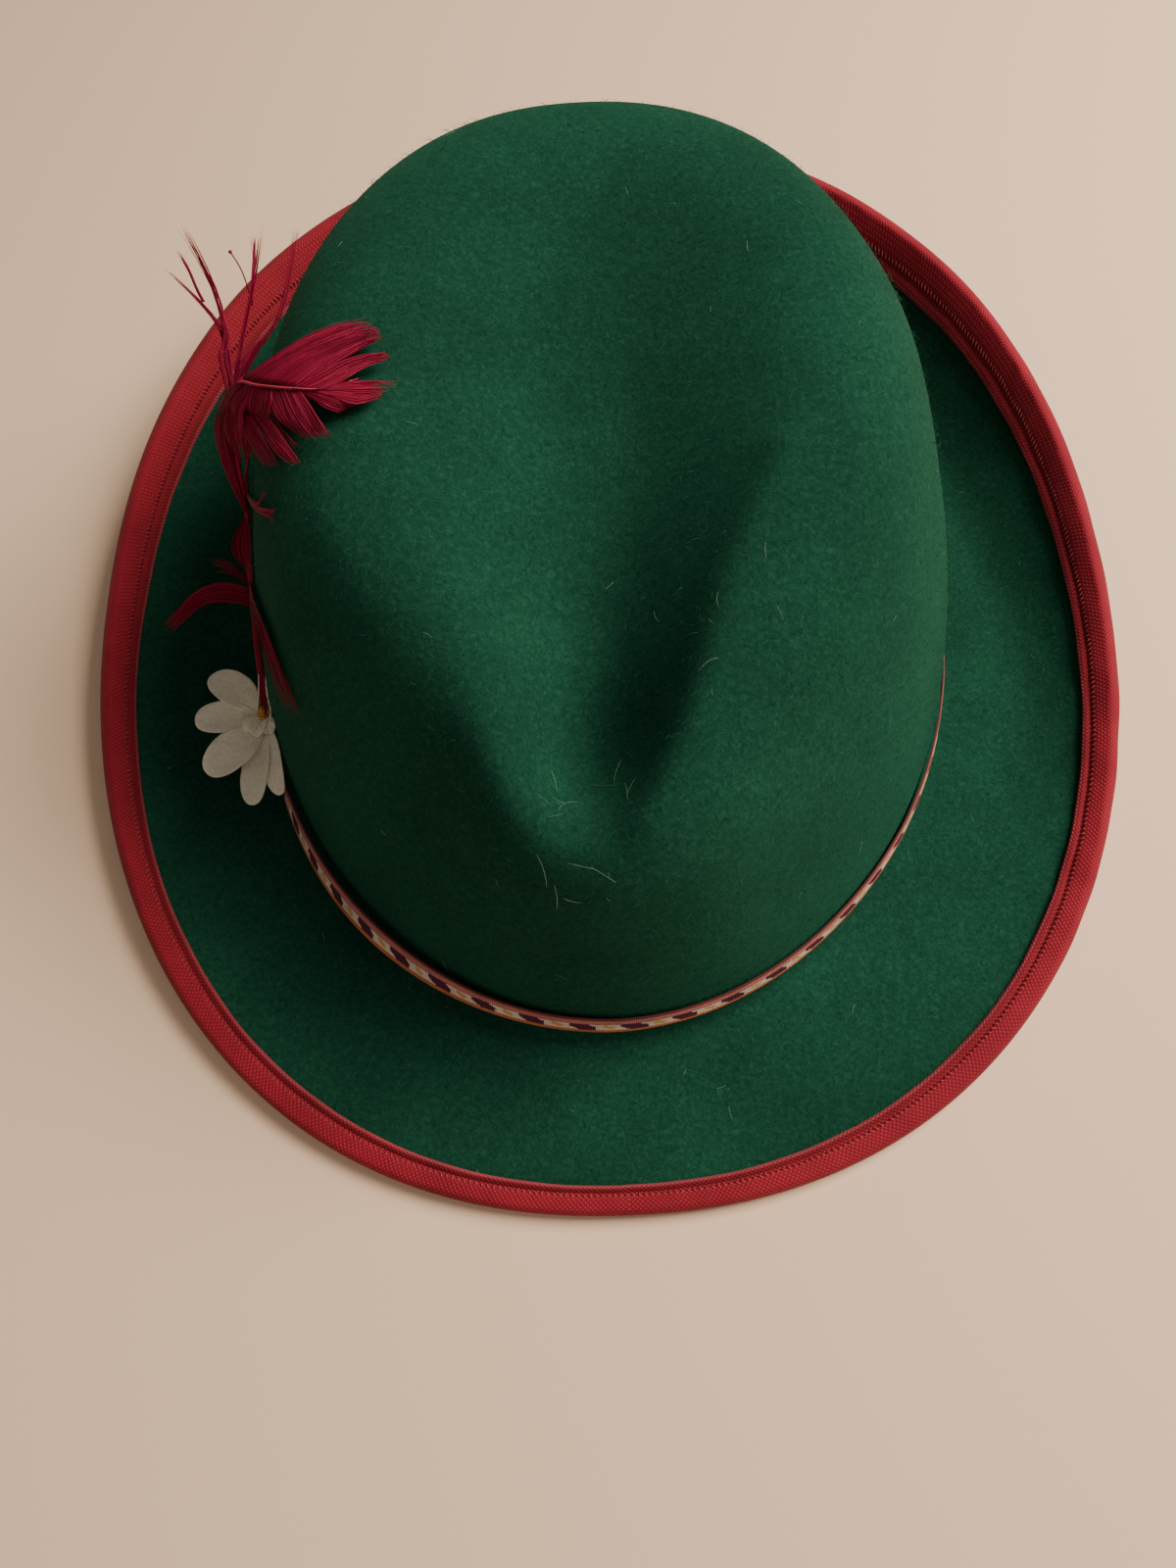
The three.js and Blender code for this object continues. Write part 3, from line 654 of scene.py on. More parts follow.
def across_of(chart):
    """The chart's along and across values."""
    parts = node(chart, "ShaderNodeSeparateXYZ")
    feed(parts.inputs, [chart])
    return parts.outputs["X"], parts.outputs["Y"]


# The tape's rib pitch and warp. Then its places from the inner edge, in millimetres, where its
# colour changes: a painted highlight along the rolled inner edge and painted shade in the seam's
# groove.
rib, rib_warp = 1.0, 1.5
tape_fold, tape_groove, tape_groove_end, tape_ridge, tape_section = 1.05, 1.35, 2.1, 2.6, 14.0
weave, place = weave_on(tape_shader), place_on(tape_shader)
tape_dots = crossed("MULTIPLY", (weave, rib, rib, rib_warp), (weave, rib, -rib, rib_warp))
tape_fuzz = apply_effect(fibre, place, Scale=1500.0, Tangle=0.5)
# The tape's red, on the upper face only: lighter at its inner edge as a painted highlight, and
# darker at the seam's groove as painted shade.
tape_red_painted_light = ramp(
    sums("DIVIDE", across_of(weave)[1], tape_section),
    (0.0, (0.46, 0.075, 0.09)),
    (tape_fold / tape_section, (0.40, 0.045, 0.06)),
    (tape_groove / tape_section, (0.2, 0.009, 0.016)),
    (tape_groove_end / tape_section, (0.28, 0.013, 0.024)),
    (tape_ridge / tape_section, (0.33, 0.015, 0.029)),
)
tape_dark = ramp(tape_dots, (0.05, (0.62, 0.6, 0.6)), (0.6, (1.12, 1.2, 1.2)))
tape_colour = times(tape_red_painted_light, tape_dark)
paint(tape_shader, dyed(tape_colour, place, 60.0, 0.8, 1.12))
bumped(tape_shader, sums("MULTIPLY_ADD", tape_fuzz, 0.6, tape_dots), 0.00016, 0.8)
put(tape_piece, tape_material, "tape", "brim_binding")

# The seam's red cotton thread shows as one slanted dash for each stitch, on both faces of the tape.
stitch_pitch, stitch_slant, stitch_radius, stitch_arch, stitch_sunk = 1.25, 0.75, 0.17, 0.16, 0.12
stitch_from, stitch_to, stitch_samples, stitch_taper = 1.9, 2.75, 5, (0.5, 1, 1.1, 1, 0.5)
stitch_count = int(tape_length[-1] / stitch_pitch)
stitch_run = (np.arange(stitch_count) + 0.5) * tape_length[-1] / stitch_count
stitch_t = np.linspace(0, 1, stitch_samples)
stitch_angle = np.interp(
    stitch_run[:, None] + stitch_slant * stitch_t, tape_length, np.append(tape_angle, 360.0)
)
stitch_inset = np.tile(tape_width - mix(stitch_from, stitch_to, stitch_t), (1, stitch_count))
tape_top, tape_under, tape_up, _ = felt_edge(stitch_angle.ravel(), stitch_inset)
stitch_lift = tape_height + stitch_arch * np.sin(np.pi * stitch_t) - stitch_sunk
stitch_lift = np.tile(stitch_lift, stitch_count)[:, None] * tape_up
stitch_paths = np.concatenate([tape_top + stitch_lift, tape_under - stitch_lift])
stitch_paths = stitch_paths.reshape(2 * stitch_count, stitch_samples, 3)
stitch_half = stitch_radius * np.array(stitch_taper)
stitch_back = np.roll(stitch_paths, 1, 0) - stitch_paths
stitch_piece = strips("tape_stitches", stitch_paths, stitch_back, stitch_half, stitch_half, 0.5)
stitch_material, stitch_shader = new_material("seam_thread", Roughness=0.7)
stitch_twist = apply_effect(fibre, place_on(stitch_shader), Scale=900.0, Tangle=0.5)
stitch_colour = ramp(stitch_twist, (0.3, (0.28, 0.016, 0.025)), (0.7, (0.40, 0.05, 0.06)))
paint(stitch_shader, stitch_colour)
put(stitch_piece, stitch_material, "tape")

# The hat band is a narrow woven braid in cream, plum, dark red and orange. It is pulled round the
# foot of the crown and held by the flower, and hangs a little loose at the front left.
band_width, band_thickness, band_lift, band_gap = 5.2, 0.9, 6.0, 0.3
band_cloth, band_tilt = 0.5, 0.3  # its real thickness, and how far its lower edge stands out
# How far it hangs loose, where, over what angle, and the share of that at its two edges.
band_slack, slack_angle, slack_spread, slack_low, slack_high = 2.6, -42.0, 26.0, 1.35, 0.6
band_around = 720
band_angle = np.arange(band_around) * 360.0 / band_around


def climb_to(angle, height):
    """The climb at which the wall is a height above the crown's foot, by halving."""
    base = crown(angle, np.zeros(angle.shape))[..., 2]
    low, high = np.zeros(angle.shape), np.full(angle.shape, 0.6)
    for _ in range(24):
        middle = (low + high) / 2
        short = crown(angle, middle)[..., 2] - base < height
        low, high = np.where(short, middle, low), np.where(short, high, middle)
    return low


def wall(angle, climb):
    """A place on the crown's wall and its outward normal."""
    along = worked(crown(angle + 0.5, climb)) - worked(crown(angle - 0.5, climb))
    up = worked(crown(angle, climb + 0.01)) - worked(crown(angle, np.maximum(climb - 0.01, 0)))
    return worked(crown(angle, climb)), unit(np.cross(along, up))


def band_row(up, out):
    """One thread line of the band: a share of its width up, and a distance out from the felt."""
    height = np.full(band_around, band_lift - foot_radius + up * band_width)
    point, normal = wall(band_angle, climb_to(band_angle, height))
    normal[:, 2] = 0
    turned = np.where(band_angle > 180, band_angle - 360, band_angle)
    slack = band_slack * hump((turned - slack_angle) / slack_spread)
    slack = slack * mix(slack_low, slack_high, up)
    return point + unit(normal) * (band_gap + out + slack + band_tilt * (1 - up))[:, None]


# The outer face is a little rounded at both edges and the inner one is flat.
band_ups = np.concatenate([np.linspace(1, 0, 17), np.linspace(0, 1, 9)])
band_round = 1 - np.clip(8 * np.minimum(band_ups[:17], 1 - band_ups[:17]), 0, 1)
band_outs = np.append(
    band_thickness - 0.6 * band_cloth * band_round, np.full(9, band_thickness - band_cloth)
)
band_rings = np.stack([band_row(up, out) for up, out in zip(band_ups, band_outs)])
band_length = run_of(band_rings[8])
band_chart = band_length, np.append(band_ups, 1.0) * band_width
band_piece = skin("hat_band_cloth", band_rings, band_chart)
band_material, band_shader = new_material(
    "woven_band", Roughness=0.75, Specular_IOR_Level=0.3
)
weave, place = weave_on(band_shader), place_on(band_shader)

# The pattern is woven in steps of a thread along and a pick across: a chain of plum lozenges and
# gold spots on cream, slanted and a little uneven, between coral and orange stripes.
band_thread, band_pick, band_slant, band_shake = 0.42, 0.3, 0.9, 0.9
chain_middle, chain_half, lozenge_half, gold_from = 2.525, 1.075, 2.8, 4.1
band_repeat = band_length[-1] / round(band_length[-1] / 10.8)
band_along, band_across = across_of(weave)
band_u = sums("SNAP", band_along, band_thread)
band_v = sums("SNAP", band_across, band_pick)
chain_off = sums("ABSOLUTE", sums("SUBTRACT", band_v, chain_middle))
slanted = sums("MULTIPLY_ADD", band_v, band_slant, band_u)
slanted = sums("MULTIPLY_ADD", noise(weave, 0.5), band_shake, slanted)
repeat_share = sums("FRACT", sums("DIVIDE", slanted, band_repeat))
from_middle = sums("ABSOLUTE", sums("SUBTRACT", repeat_share, 0.5))
from_middle = sums("MULTIPLY", from_middle, band_repeat)
lozenge = sums("MULTIPLY_ADD", chain_off, 0.9, from_middle)
lozenge = sums("LESS_THAN", lozenge, lozenge_half)
gold_spot = sums("MULTIPLY_ADD", chain_off, -1.4, from_middle)
gold_spot = sums("GREATER_THAN", gold_spot, gold_from)
on_chain = sums("LESS_THAN", chain_off, chain_half)
band_stripes = ramp(
    sums("DIVIDE", band_across, band_width),
    (0.0, (0.40, 0.11, 0.04)),
    (0.06, (0.72, 0.24, 0.08)),
    (0.27, (0.62, 0.17, 0.07)),
    (0.68, (0.16, 0.03, 0.02)),
    (0.74, (0.56, 0.2, 0.24)),
    (0.80, (0.60, 0.22, 0.16)),
    (0.91, (0.50, 0.15, 0.11)),
    (0.95, (0.10, 0.018, 0.018)),
)
chain_pale = blend(gold_spot, (0.84, 0.70, 0.54, 1.0), (0.72, 0.40, 0.16, 1.0))
chain_colour = blend(lozenge, chain_pale, (0.1, 0.014, 0.045, 1.0))
band_colour = blend(on_chain, band_stripes, chain_colour)
band_threads = crossed("MULTIPLY", (weave, band_thread, 0.0), (weave, 0.0, band_pick * 2))
band_shade = ramp(band_threads, (0.0, (0.72, 0.7, 0.7)), (0.5, (1.15, 1.15, 1.15)))
band_colour = times(band_colour, band_shade)
paint(band_shader, dyed(band_colour, place, 120.0, 0.75, 1.15))
band_fuzz = apply_effect(fibre, place, Scale=1300.0, Tangle=0.5)
bumped(band_shader, sums("MULTIPLY_ADD", band_fuzz, 0.5, band_threads), 0.0002, 0.9)
put(band_piece, band_material, "band", "hat_band")

# The flower is stamped from white stiffened cloth. Five petals spread over the brim from a gathered
# middle, two stand on edge against the crown, and three short ones fill the throat.
# Each petal: its base and tip, the way its face looks, its width, its cup and the wave of its rim.
petal_cuts = (
    ((-84, -25.6, 13), (-95.5, -16.4, 16), (0.25, 0.1, 1), 9.4, 0.5, 0.16),
    ((-83.6, -27.6, 13.2), (-98.4, -29.1, 16), (0.2, 0, 1), 8.8, 0.6, 0.18),
    ((-82.6, -30, 13.4), (-93.7, -43.8, 16), (0.2, 0.1, 1), 9.8, 0.7, 0.2),
    ((-82, -31.5, 13.6), (-83.2, -51.1, 13.4), (-0.3, 0, 1), 7.6, 0.7, 0.22),
    ((-80.4, -32, 14.4), (-75.8, -50, 16.2), (-0.55, -0.1, 0.8), 6.4, 0.5, 0.25),
    ((-84.4, -28, 13.2), (-82.9, -14.2, 20), (1, -0.1, 0.12), 4.2, 0.4, 0.3),
    ((-79.8, -30, 14.6), (-79.3, -15.8, 23), (-1, 0.2, 0.3), 4.8, 0.5, 0.9),
    ((-82.4, -27, 14), (-83.6, -33.8, 15.2), (0.1, 0.4, 1), 4.4, 0.8, 0.5),
    ((-81.6, -28.4, 14.6), (-79.4, -33.6, 15.6), (-0.4, 0.2, 1), 4, 0.7, 0.6),
    ((-83.2, -28, 14.2), (-86, -32.4, 15), (0.2, 0.3, 1), 3.8, 0.7, 0.5),
)
petal_half_thickness, petal_around, petal_arch, petal_narrow = 0.2, 40, 0.7, 0.62
petal_rings = np.array([0.08, 0.28, 0.48, 0.66, 0.82, 0.94, 1.0])
petal_rings = np.append(petal_rings, petal_rings[::-1])[:, None]
petal_sides = np.repeat([1.0, 0.5, -0.5, -1.0], [6, 1, 1, 6])[:, None]


def petal(base, tip, face, width, cup, wave, seed):
    """Rings of one petal. Its outline is an oval, narrower at the base; it is cupped by the square
    of the distance from its middle line, arched along it, and waves more towards the rim."""
    base, reach = np.array(base), np.subtract(tip, base)
    along = unit(reach)
    side = unit(np.cross(face, along))
    turn = np.arange(petal_around) * 2 * np.pi / petal_around
    x = 0.5 + 0.5 * petal_rings * rounded(np.cos(turn), 2.5)
    y = petal_rings * rounded(np.sin(turn), 2.3) * mix(petal_narrow, 1.0, step(x, 0.0, 0.5))
    wavy = wave * petal_rings ** 2 * wander(turn * 6 + 0 * petal_rings, 0, seed, 9, 30 + seed)
    lift = cup * y ** 2 + petal_arch * np.sin(np.pi * x) + wavy
    lift = lift + petal_half_thickness * petal_sides
    flat = base + x[..., None] * reach + 0.5 * width * y[..., None] * side
    return flat + lift[..., None] * np.cross(along, side)


petal_material, petal_shader = new_material(
    "white_cloth", Roughness=0.85, Specular_IOR_Level=0.25
)
place, petal_pitch = place_on(petal_shader), 0.00045
petal_fuzz = apply_effect(fibre, place, Scale=1400.0, Tangle=0.4)
petal_colour = ramp(petal_fuzz, (0.3, (0.72, 0.60, 0.43)), (0.6, (0.90, 0.80, 0.63)))
paint(petal_shader, dyed(petal_colour, place, 140.0, 0.86, 1.06))
petal_weave = crossed("ADD", (place, petal_pitch, 0.0), (place, 0.0, petal_pitch))
bumped(petal_shader, sums("ADD", petal_weave, petal_fuzz), 0.00006, 0.7)
for number, cut in enumerate(petal_cuts):
    petal_piece = skin(f"petal_{number}", petal(*cut, number))
    put(petal_piece, petal_material, "petal", *([] if number else ["flower_petals"]))

# The knot is a few turns of yellow thread pulled tight in the flower's middle.
knot_middle, knot_radius, knot_turns = np.array([-82.2, -27.6, 15.4]), 1.15, 5.0
knot_t, thread_radius = np.linspace(0, 1, 120), 0.36
knot_turn = 2 * np.pi * knot_turns * knot_t
knot_swell = knot_radius * np.sin(np.pi * mix(0.12, 0.88, knot_t))
knot_path = knot_middle + np.stack([
    knot_swell * np.cos(knot_turn),
    1.5 * knot_radius * (2 * knot_t - 1),
    0.8 * knot_swell * np.sin(knot_turn),
], -1)


def tube(name, path, radius):
    """A round tube of a varying radius carried along a path, closed by a pole at each end."""
    tangent = unit(np.gradient(path, axis=0))
    first = unit(np.cross(tangent, [0.31, 0.52, 0.79]))
    turn = np.radians(np.arange(0, 360, 45))[:, None]
    spoke = np.cos(turn) * first[:, None] - np.sin(turn) * np.cross(tangent, first)[:, None]
    return skin(name, path[:, None] + np.asarray(radius)[:, None, None] * spoke)


knot_piece = tube("flower_knot", knot_path, np.full(len(knot_t), thread_radius))
knot_material, knot_shader = new_material("yellow_thread", Roughness=0.7)
knot_twist = apply_effect(fibre, place_on(knot_shader), Scale=900.0, Tangle=0.6)
paint(knot_shader, ramp(knot_twist, (0.3, (0.42, 0.17, 0.02)), (0.7, (0.7, 0.4, 0.07))))
put(knot_piece, knot_material, "eye", "flower_centre")

# The main feather is dyed crimson. Its quill is tucked in behind the flower, runs up the crown's
# edge and bends over its front, and its barbs part into locks that lie along the felt.
# A place is (angle, climb, distance from the felt). A lock has two or three guides of four places
# from root to tip, and its barbs fill the way from the first guide to the last.
quill_places = (
    (-79.5, 0.03, 2.6), (-80, 0.08, 1.8), (-81.5, 0.15, 1.3), (-83.5, 0.22, 1.1),
    (-85.5, 0.29, 1.1), (-88, 0.36, 1.2), (-89.5, 0.43, 2.8), (-91, 0.49, 5.2),
    (-91.3, 0.545, 7.6), (-90.8, 0.59, 8.8), (-88.8, 0.633, 8.4), (-87.5, 0.672, 7),
    (-87, 0.708, 5.2), (-87.8, 0.735, 3.8), (-89.2, 0.755, 2.8),
)
main_locks = (
    (((-91, 0.59, 8.6), (-92, 0.638, 7.4), (-95.5, 0.693, 4.8), (-99.2, 0.75, 3)),
     ((-89.5, 0.625, 8.2), (-91.5, 0.667, 6.4), (-94.2, 0.715, 4.4), (-99, 0.765, 2.8))),
    (((-90, 0.608, 8.8), (-91.5, 0.657, 7), (-93.8, 0.708, 5), (-98, 0.768, 3.4)),
     ((-87, 0.69, 6.4), (-89.5, 0.718, 5.2), (-92.5, 0.748, 4), (-96.5, 0.777, 3))),
    (((-87.2, 0.677, 7), (-88.8, 0.71, 5.8), (-91.2, 0.743, 4.4), (-94.2, 0.785, 3)),
     ((-86.8, 0.708, 5.4), (-87.5, 0.728, 4.6), (-89.8, 0.753, 3.6), (-93.2, 0.79, 2.6))),
    (((-87, 0.703, 5.6), (-87.8, 0.733, 4.4), (-88.5, 0.763, 3.4), (-89, 0.797, 2.6)),
     ((-86.8, 0.7, 5.6), (-85.8, 0.728, 4.2), (-84.8, 0.753, 3.2), (-86, 0.777, 2.4))),
    (((-87, 0.695, 5.8), (-85.8, 0.72, 4.4), (-85.2, 0.74, 3.4), (-85.2, 0.758, 2.2)),
     ((-87.2, 0.68, 6), (-86, 0.7, 4.6), (-85, 0.713, 3.6), (-84.5, 0.73, 2.2))),
    (((-87, 0.685, 6.2), (-85.2, 0.695, 5), (-83, 0.705, 3.8), (-81.2, 0.713, 2.2)),
     ((-87.5, 0.665, 7), (-86, 0.667, 5.6), (-84.2, 0.672, 4), (-82.2, 0.682, 2.2)),
     ((-88.5, 0.64, 7.8), (-87, 0.638, 6.6), (-85.5, 0.64, 4.8), (-83.8, 0.655, 2.2))),
    (((-88, 0.62, 6.2), (-86.2, 0.63, 4.6), (-84.5, 0.638, 3.2), (-82.5, 0.65, 1.8)),
     ((-88, 0.616, 6), (-86.2, 0.626, 4.4), (-84.5, 0.634, 3), (-82.5, 0.646, 1.8))),
    (((-87.5, 0.613, 6.2), (-85.5, 0.628, 4.8), (-83, 0.64, 3.2), (-80.2, 0.652, 1.6)),
     ((-87.8, 0.595, 6.4), (-85.8, 0.603, 4.6), (-83, 0.615, 3), (-80.8, 0.633, 1.6))),
    (((-88, 0.595, 6.6), (-86, 0.6, 5), (-84.2, 0.603, 3.4), (-82, 0.605, 1.6)),
     ((-88.5, 0.573, 7), (-87.2, 0.565, 5.4), (-85.5, 0.568, 3.8), (-84.2, 0.56, 1.8))),
    (((-91, 0.575, 8.6), (-90.4, 0.573, 8.4), (-90.1, 0.57, 8), (-89.6, 0.57, 7.2)),
     ((-90.8, 0.59, 8.8), (-90.2, 0.588, 8.6), (-90, 0.583, 8.2), (-89.5, 0.583, 7.4)),
     ((-89.2, 0.62, 8.6), (-88.8, 0.608, 8), (-88.2, 0.6, 7.4), (-87.8, 0.595, 6.4)),
     ((-88.2, 0.647, 7.6), (-87, 0.645, 7.2), (-86.5, 0.635, 6.4), (-86, 0.628, 5.4))),
    (((-88.2, 0.367, 1.8), (-89.4, 0.42, 5.2), (-91, 0.488, 8.6), (-91.2, 0.56, 8.7)),
     ((-88, 0.372, 1), (-89, 0.42, 3.2), (-90.5, 0.485, 6.4), (-91, 0.56, 7.6))),
    (((-88, 0.37, 1.4), (-89, 0.42, 3.3), (-90.4, 0.475, 6), (-91, 0.56, 8)),
     ((-88.1, 0.375, 1.2), (-89.2, 0.42, 2.4), (-90.3, 0.47, 3.6), (-89.8, 0.55, 7.4))),
    (((-88.3, 0.37, 1.2), (-89.3, 0.42, 1.8), (-90.3, 0.46, 2), (-89.2, 0.54, 5.2)),
     ((-88.6, 0.385, 0.9), (-89.5, 0.43, 1.4), (-90.1, 0.48, 1.6), (-88.6, 0.545, 5.4))),
    (((-90.9, 0.60, 8.9), (-91, 0.575, 9.2), (-91, 0.55, 9.2), (-91.2, 0.525, 8.8)),
     ((-90, 0.60, 8.6), (-89.6, 0.58, 8.8), (-89.4, 0.565, 8.4), (-89.6, 0.545, 7.6)),
     ((-88.6, 0.61, 7.8), (-88, 0.59, 7.6), (-87.2, 0.58, 6.8), (-86.4, 0.565, 5.8))),
    (((-88.6, 0.41, 1.2), (-84, 0.48, 1), (-81, 0.53, 1.6), (-80, 0.575, 2.6)),
     ((-88.6, 0.405, 1.2), (-84, 0.475, 1), (-80.8, 0.527, 1.6), (-79.6, 0.572, 2.6))),
    (((-88.6, 0.41, 1.2), (-84, 0.475, 1), (-80, 0.535, 1.4), (-77.5, 0.575, 1.4)),
     ((-88.6, 0.405, 1.2), (-84, 0.47, 1), (-79.6, 0.53, 1.4), (-77.2, 0.565, 1.4))),
    (((-88, 0.36, 1.4), (-87, 0.34, 3.6), (-86.2, 0.312, 4.6), (-85.5, 0.29, 3.4)),
     ((-88, 0.355, 1), (-87, 0.335, 1.8), (-86.3, 0.31, 2), (-85.2, 0.285, 1.4))),
    (((-79.5, 0.03, 3.2), (-81, 0.12, 2.1), (-83, 0.2, 1.6), (-84.6, 0.26, 1.5)),
     ((-78.5, 0.04, 2.2), (-80, 0.12, 0.9), (-82, 0.2, 0.8), (-84, 0.26, 0.8))),
    (((-84.2, 0.24, 1.5), (-85.5, 0.29, 2.1), (-87, 0.335, 2), (-88.3, 0.37, 1.9)),
     ((-83.6, 0.24, 0.7), (-85, 0.29, 0.7), (-86.6, 0.335, 0.7), (-88, 0.37, 0.9))),
    (((-84, 0.235, 1.3), (-79.5, 0.3, 1.5), (-71, 0.37, 1.6), (-62.5, 0.345, 1.2)),
     ((-84.5, 0.25, 1), (-79, 0.35, 1.3), (-69.5, 0.415, 1.5), (-60, 0.372, 1))),
)
# How far apart a lock's barbs lie, their half width and half thickness, and how far they stray.
# Stray barbs are spaced wider, looser and thinner by the next three.
barb_spacing, barb_half_width, barb_half_thickness, barb_stray = 0.22, 0.22, 0.04, 0.15
stray_spacing, stray_loose, stray_width = 2.2, 1.6, 0.3
barb_samples, barb_beside = 9, 0.004


def weights(count, t):
    """How much each of a row's places counts at shares t of its length: the cubic through them."""
    return np.stack([smoothly(row, t) for row in np.eye(count)], -1)


def along_places(places, t):
    """Points at shares t of rows of four places, along the cubic through them."""
    return np.einsum("nsk,nkc->nsc", weights(places.shape[1], t), places)


def on_crown(places):
    """Points over the crown from (angle, climb, distance from the felt)."""
    point, normal = wall(places[..., 0], places[..., 1])
    return point + normal * places[..., 2:]


def barbs(guides, seed, lay, spacing, loose):
    """The barbs of one lock, side by side from its first guide to its last. Each ends a little
    short or long of the guides' tips and strays from its neighbours by the cube of its share."""
    guides = np.array(guides, float)
    dice = np.random.default_rng(seed)
    width = np.linalg.norm(lay(guides[0]) - lay(guides[-1]), axis=-1).max()
    count = max(int(width / spacing), 4)
    u = (np.arange(count) + dice.uniform(0.2, 0.8, count)) / count
    longest = dice.uniform(0.84, 1.05, count) + loose * dice.uniform(0, 0.25, count)
    t = np.linspace(0, 1, barb_samples) * longest[:, None]
    paths, before, after = (
        lay(along_places(
            np.einsum("ng,gkc->nkc", weights(len(guides), np.clip(u + aside, 0, 1)), guides),
            np.minimum(t, 1.0),
        ))
        for aside in (0.0, -barb_beside, barb_beside)
    )
    across = unit(after - before)
    paths = paths + 3 * np.maximum(t - 1.0, 0)[..., None] * (paths[:, -1:] - paths[:, -3:-2])
    sideways, upward = dice.normal(size=(count, 1, 1)), 0.6 * dice.normal(size=(count, 1, 1))
    stray = sideways * across + upward * np.cross(across, np.gradient(paths, axis=1))
    paths = paths + barb_stray * (1 + loose) * t[..., None] ** 3 * stray
    layer = dice.uniform(-0.08, 0.08, (count, 1, 1))
    normal = unit(np.cross(np.gradient(paths, axis=1), across))
    shade = np.clip(dice.normal(0.45, 0.11, (count, 1)) + 0.18 * (t - 0.3), 0, 0.85)
    thin = np.full((count, 1), stray_width if loose else 1.0)
    return paths + layer * normal, across, t, shade, thin


def feather(name, locks, seed, lay=on_crown, spacing=barb_spacing, half_width=barb_half_width):
    """All barbs of a feather as one mesh: full locks, and thin stray barbs that give soft edges.
    The lay turns the locks' places into points."""
    full = [barbs(lock, seed + k, lay, spacing, 0.0) for k, lock in enumerate(locks)]
    stray = [
        barbs(lock, seed + 50 + k, lay, stray_spacing * spacing, stray_loose)
        for k, lock in enumerate(locks)
    ]
    paths, across, t, shade, thin = (np.concatenate(part) for part in zip(*full, *stray))
    taper = np.clip((1.08 - t / t[:, -1:]) / 0.35, 0.12, 1.0)
    thickness = barb_half_thickness * (0.4 + 0.6 * taper)
    return strips(name, paths, across, half_width * thin * taper, thickness, shade)


feather_material, feather_shader = new_material(
    "dyed_feather", Roughness=0.6, Specular_IOR_Level=0.12
)
feather_colour = ramp(
    tone_of(feather_shader),
    (0.0, (0.07, 0.001, 0.007)),
    (0.45, (0.19, 0.003, 0.024)),
    (0.85, (0.29, 0.009, 0.042)),
    (1.0, (0.48, 0.08, 0.105)),
)
paint(feather_shader, dyed(feather_colour, place_on(feather_shader), 110.0, 0.78, 1.12))
main_feather = feather("feather_main_barbs", main_locks, 100)
put(main_feather, feather_material, "feather", "feather_main")


def shaft(name, t, radius, tone, lift=0.0):
    """A tube along the quill's places at shares t of its length, lifted off them."""
    path = on_crown(weights(len(quill_places), t) @ np.array(quill_places) + [0, 0, lift])
    put(toned(tube(name, path, radius), tone), feather_material, "feather")


quill_t = np.linspace(0, 1, 90)
shaft("feather_main_quill", quill_t, mix(0.75, 0.16, quill_t ** 0.8), 0.8)
shaft("feather_main_rachis", np.linspace(0.645, 0.97, 50), np.linspace(0.16, 0.09, 50), 0.97, 0.25)

# Two locks hang loose, so their places are in millimetres. One fills the flower's throat between
# the two standing petals, and one closes the side of the feather where the stalk meets the vane.
loose_locks = (
    (((-82.3, -15, 22.5), (-82.3, -20, 20.5), (-82.4, -24, 18.6), (-82.2, -27.5, 17)),
     ((-80.8, -16, 22.5), (-80.5, -21, 20.5), (-80.5, -26, 18.6), (-80.8, -30, 17))),
    (((-68.7, -1.8, 91.9), (-70.4, -4.5, 89.2), (-71.1, -6, 85.6), (-71, -6.3, 80.8)),
     ((-65.8, -3.5, 92.8), (-66.4, -6, 90.3), (-67.3, -7.4, 86.4), (-68.2, -8, 81.8)),
     ((-63.2, -4.9, 92.8), (-63.6, -7.4, 90.6), (-64.2, -9, 87.2), (-65.2, -9.6, 83.8))),
)
loose_piece = feather("feather_loose_barbs", loose_locks, 300, np.asarray)
put(loose_piece, feather_material, "feather")

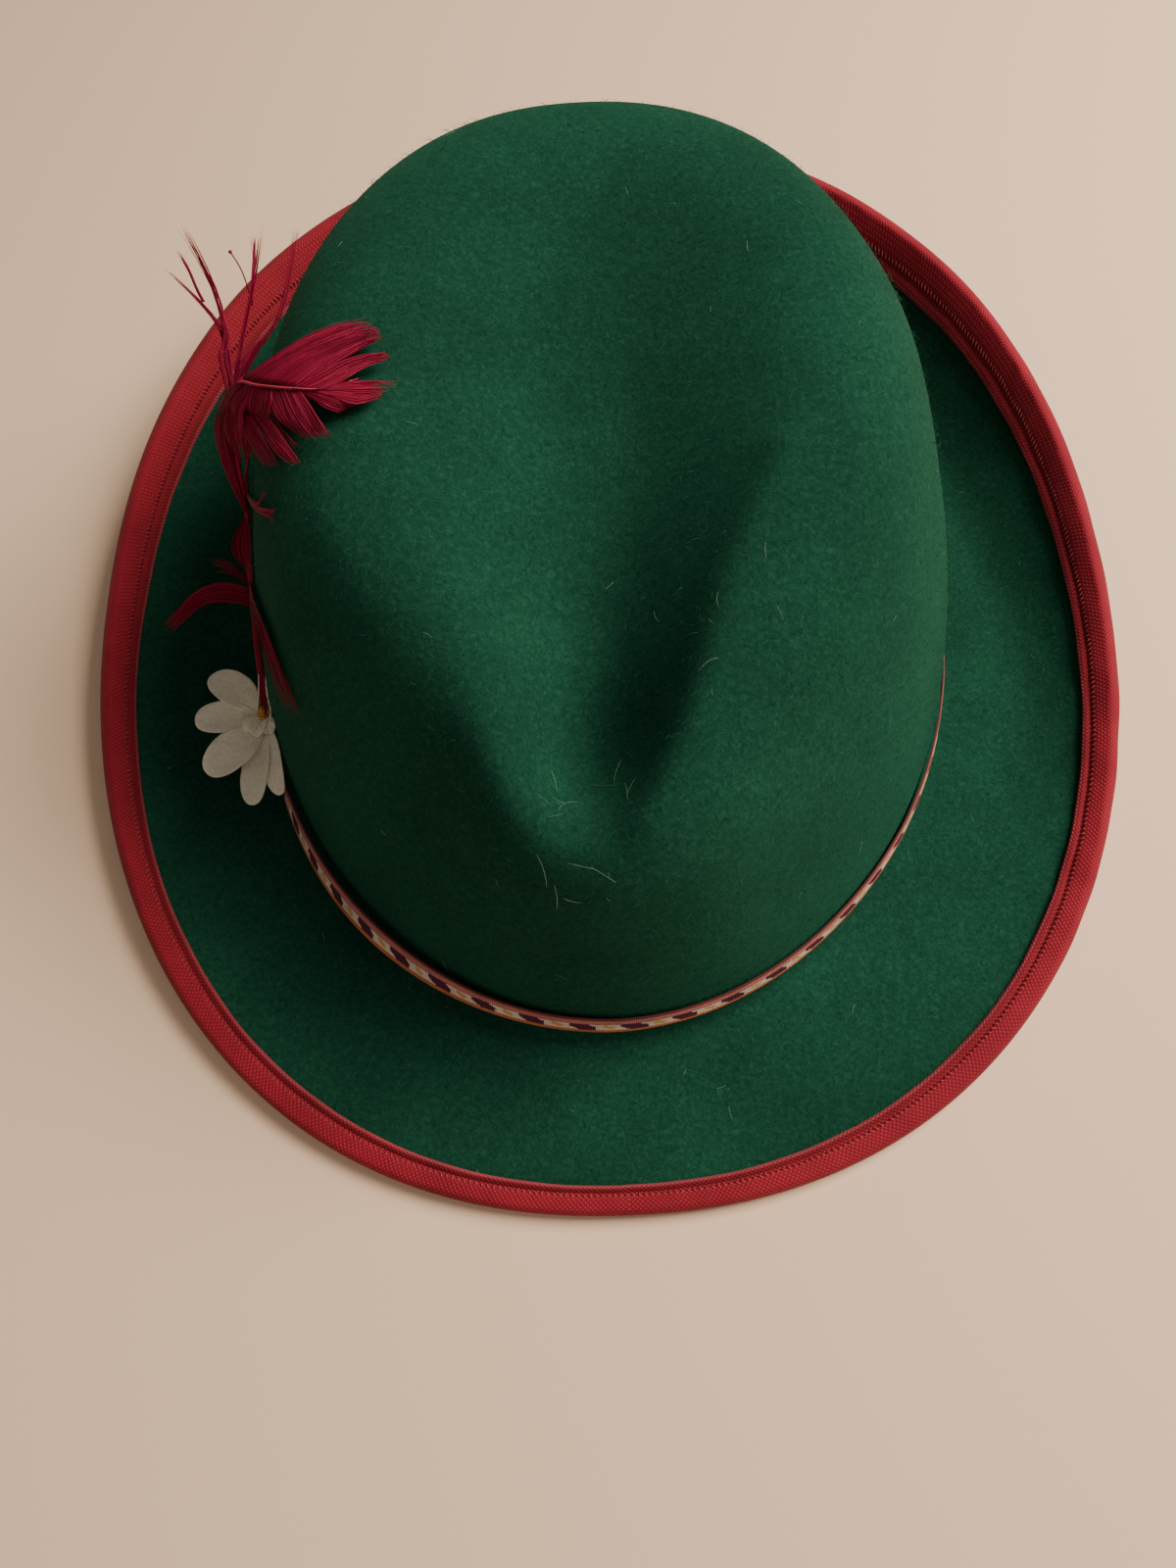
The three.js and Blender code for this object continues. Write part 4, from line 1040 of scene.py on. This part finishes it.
# The second feather stands behind the first and has lost most of its vane. Its barbs part into bare
# strands that rise over the crown's shoulder. Places are in millimetres.
wisp_root = tuple(on_crown(np.array([[-91.2, 0.55, 7.4]]))[0])
wisp_strands = (
    # places from root to tip, how wide the strand's barbs spread at the root and at the tip
    ((wisp_root, (-69.5, 8.5, 95.5), (-71.2, 17.2, 99.5), (-76.2, 25.7, 106)), 1.1, 0.6),
    ((wisp_root, (-69.5, 9.4, 96), (-71.8, 18.6, 100.6), (-75.5, 26, 105.8)), 0.7, 0.9),
    (((-73.2, 14.6, 99.6), (-74.2, 16.4, 101.2), (-75.4, 19.3, 102.8), (-77.6, 23.4, 104)),
     0.5, 0.3),
    ((wisp_root, (-70, 9.2, 95), (-72.6, 13.2, 98.8), (-78.2, 17.3, 104)), 1.1, 0.7),
    ((wisp_root, (-66.9, 9.6, 94.4), (-63.4, 17.2, 101), (-61.1, 25.5, 106)), 0.8, 0.5),
    (((-64.6, 14.7, 98), (-63.3, 17.9, 102), (-62.8, 20.8, 104), (-62.9, 25, 105)),
     0.5, 0.3),
    ((wisp_root, (-64.2, 6.4, 94), (-58.4, 12.6, 98.2), (-55.3, 25.6, 104)), 1, 0.4),
    ((wisp_root, (-67, 4.4, 92.5), (-64.7, 7.3, 94), (-63.3, 10, 95)), 1.8, 1.3),
    ((wisp_root, (-65.9, 5.6, 93), (-63.6, 8.3, 94), (-61.7, 9.1, 95)), 1.6, 0.8),
    ((wisp_root, (-70.4, 5.6, 94), (-69.8, 7.6, 95), (-69.2, 10, 96.4)), 1.8, 1.2),
)


def strand(places, root_spread, tip_spread):
    """A lock's two guides: the strand's places moved apart, level, by the spread at each."""
    spread = np.linspace(root_spread, tip_spread, 4)[:, None] / 2
    places = np.array(places, float)
    return places - spread * to_right, places + spread * to_right


wisps_piece = feather(
    "feather_wisp_barbs", [strand(*wisp) for wisp in wisp_strands], 400, np.asarray, 0.27, 0.12
)
put(wisps_piece, feather_material, "feather", "feather_wisps")

# One strand is bare but for a small knob near its tip.
bare_t, bare_radius, knob_radius = np.linspace(0, 1, 30), 0.13, 0.3
bare_places = np.array([
    (-64.4, 15.4, 98.6), (-65.2, 18.6, 100), (-66.4, 21.6, 101.4), (-68.1, 24.1, 103)
])
bare_path = weights(len(bare_places), bare_t) @ bare_places
bare_radius = bare_radius + knob_radius * hump((bare_t - 0.97) / 0.035)
put(toned(tube("feather_bare_strand", bare_path, bare_radius), 0.25), feather_material, "feather")

# The small feather curls away to the side above the flower, soft at its tip, with a faint tuft.
small_locks = (
    (((-83.8, 0.254, 1.1), (-84.4, 0.262, 6.5), (-83.9, 0.252, 12.5), (-82.3, 0.214, 19)),
     ((-83.6, 0.232, 1.1), (-84, 0.240, 6.5), (-83.5, 0.236, 12.5), (-82, 0.200, 20)),
     ((-83.5, 0.212, 1.1), (-83.7, 0.224, 6.5), (-83.3, 0.224, 12), (-81.9, 0.190, 18.4))),
)
tuft_locks = (
    (((-84.5, 0.25, 1.2), (-86, 0.262, 3.5), (-87, 0.268, 6), (-88, 0.262, 9.5)),
     ((-84.5, 0.24, 1.2), (-85.4, 0.252, 3.5), (-86, 0.255, 6), (-86.6, 0.248, 9))),
)
small_piece = feather("feather_small_barbs", small_locks, 500)
put(small_piece, feather_material, "feather", "feather_small")
tuft_piece = feather("feather_tuft_barbs", tuft_locks, 600, on_crown, 0.4, 0.1)
put(tuft_piece, feather_material, "feather")
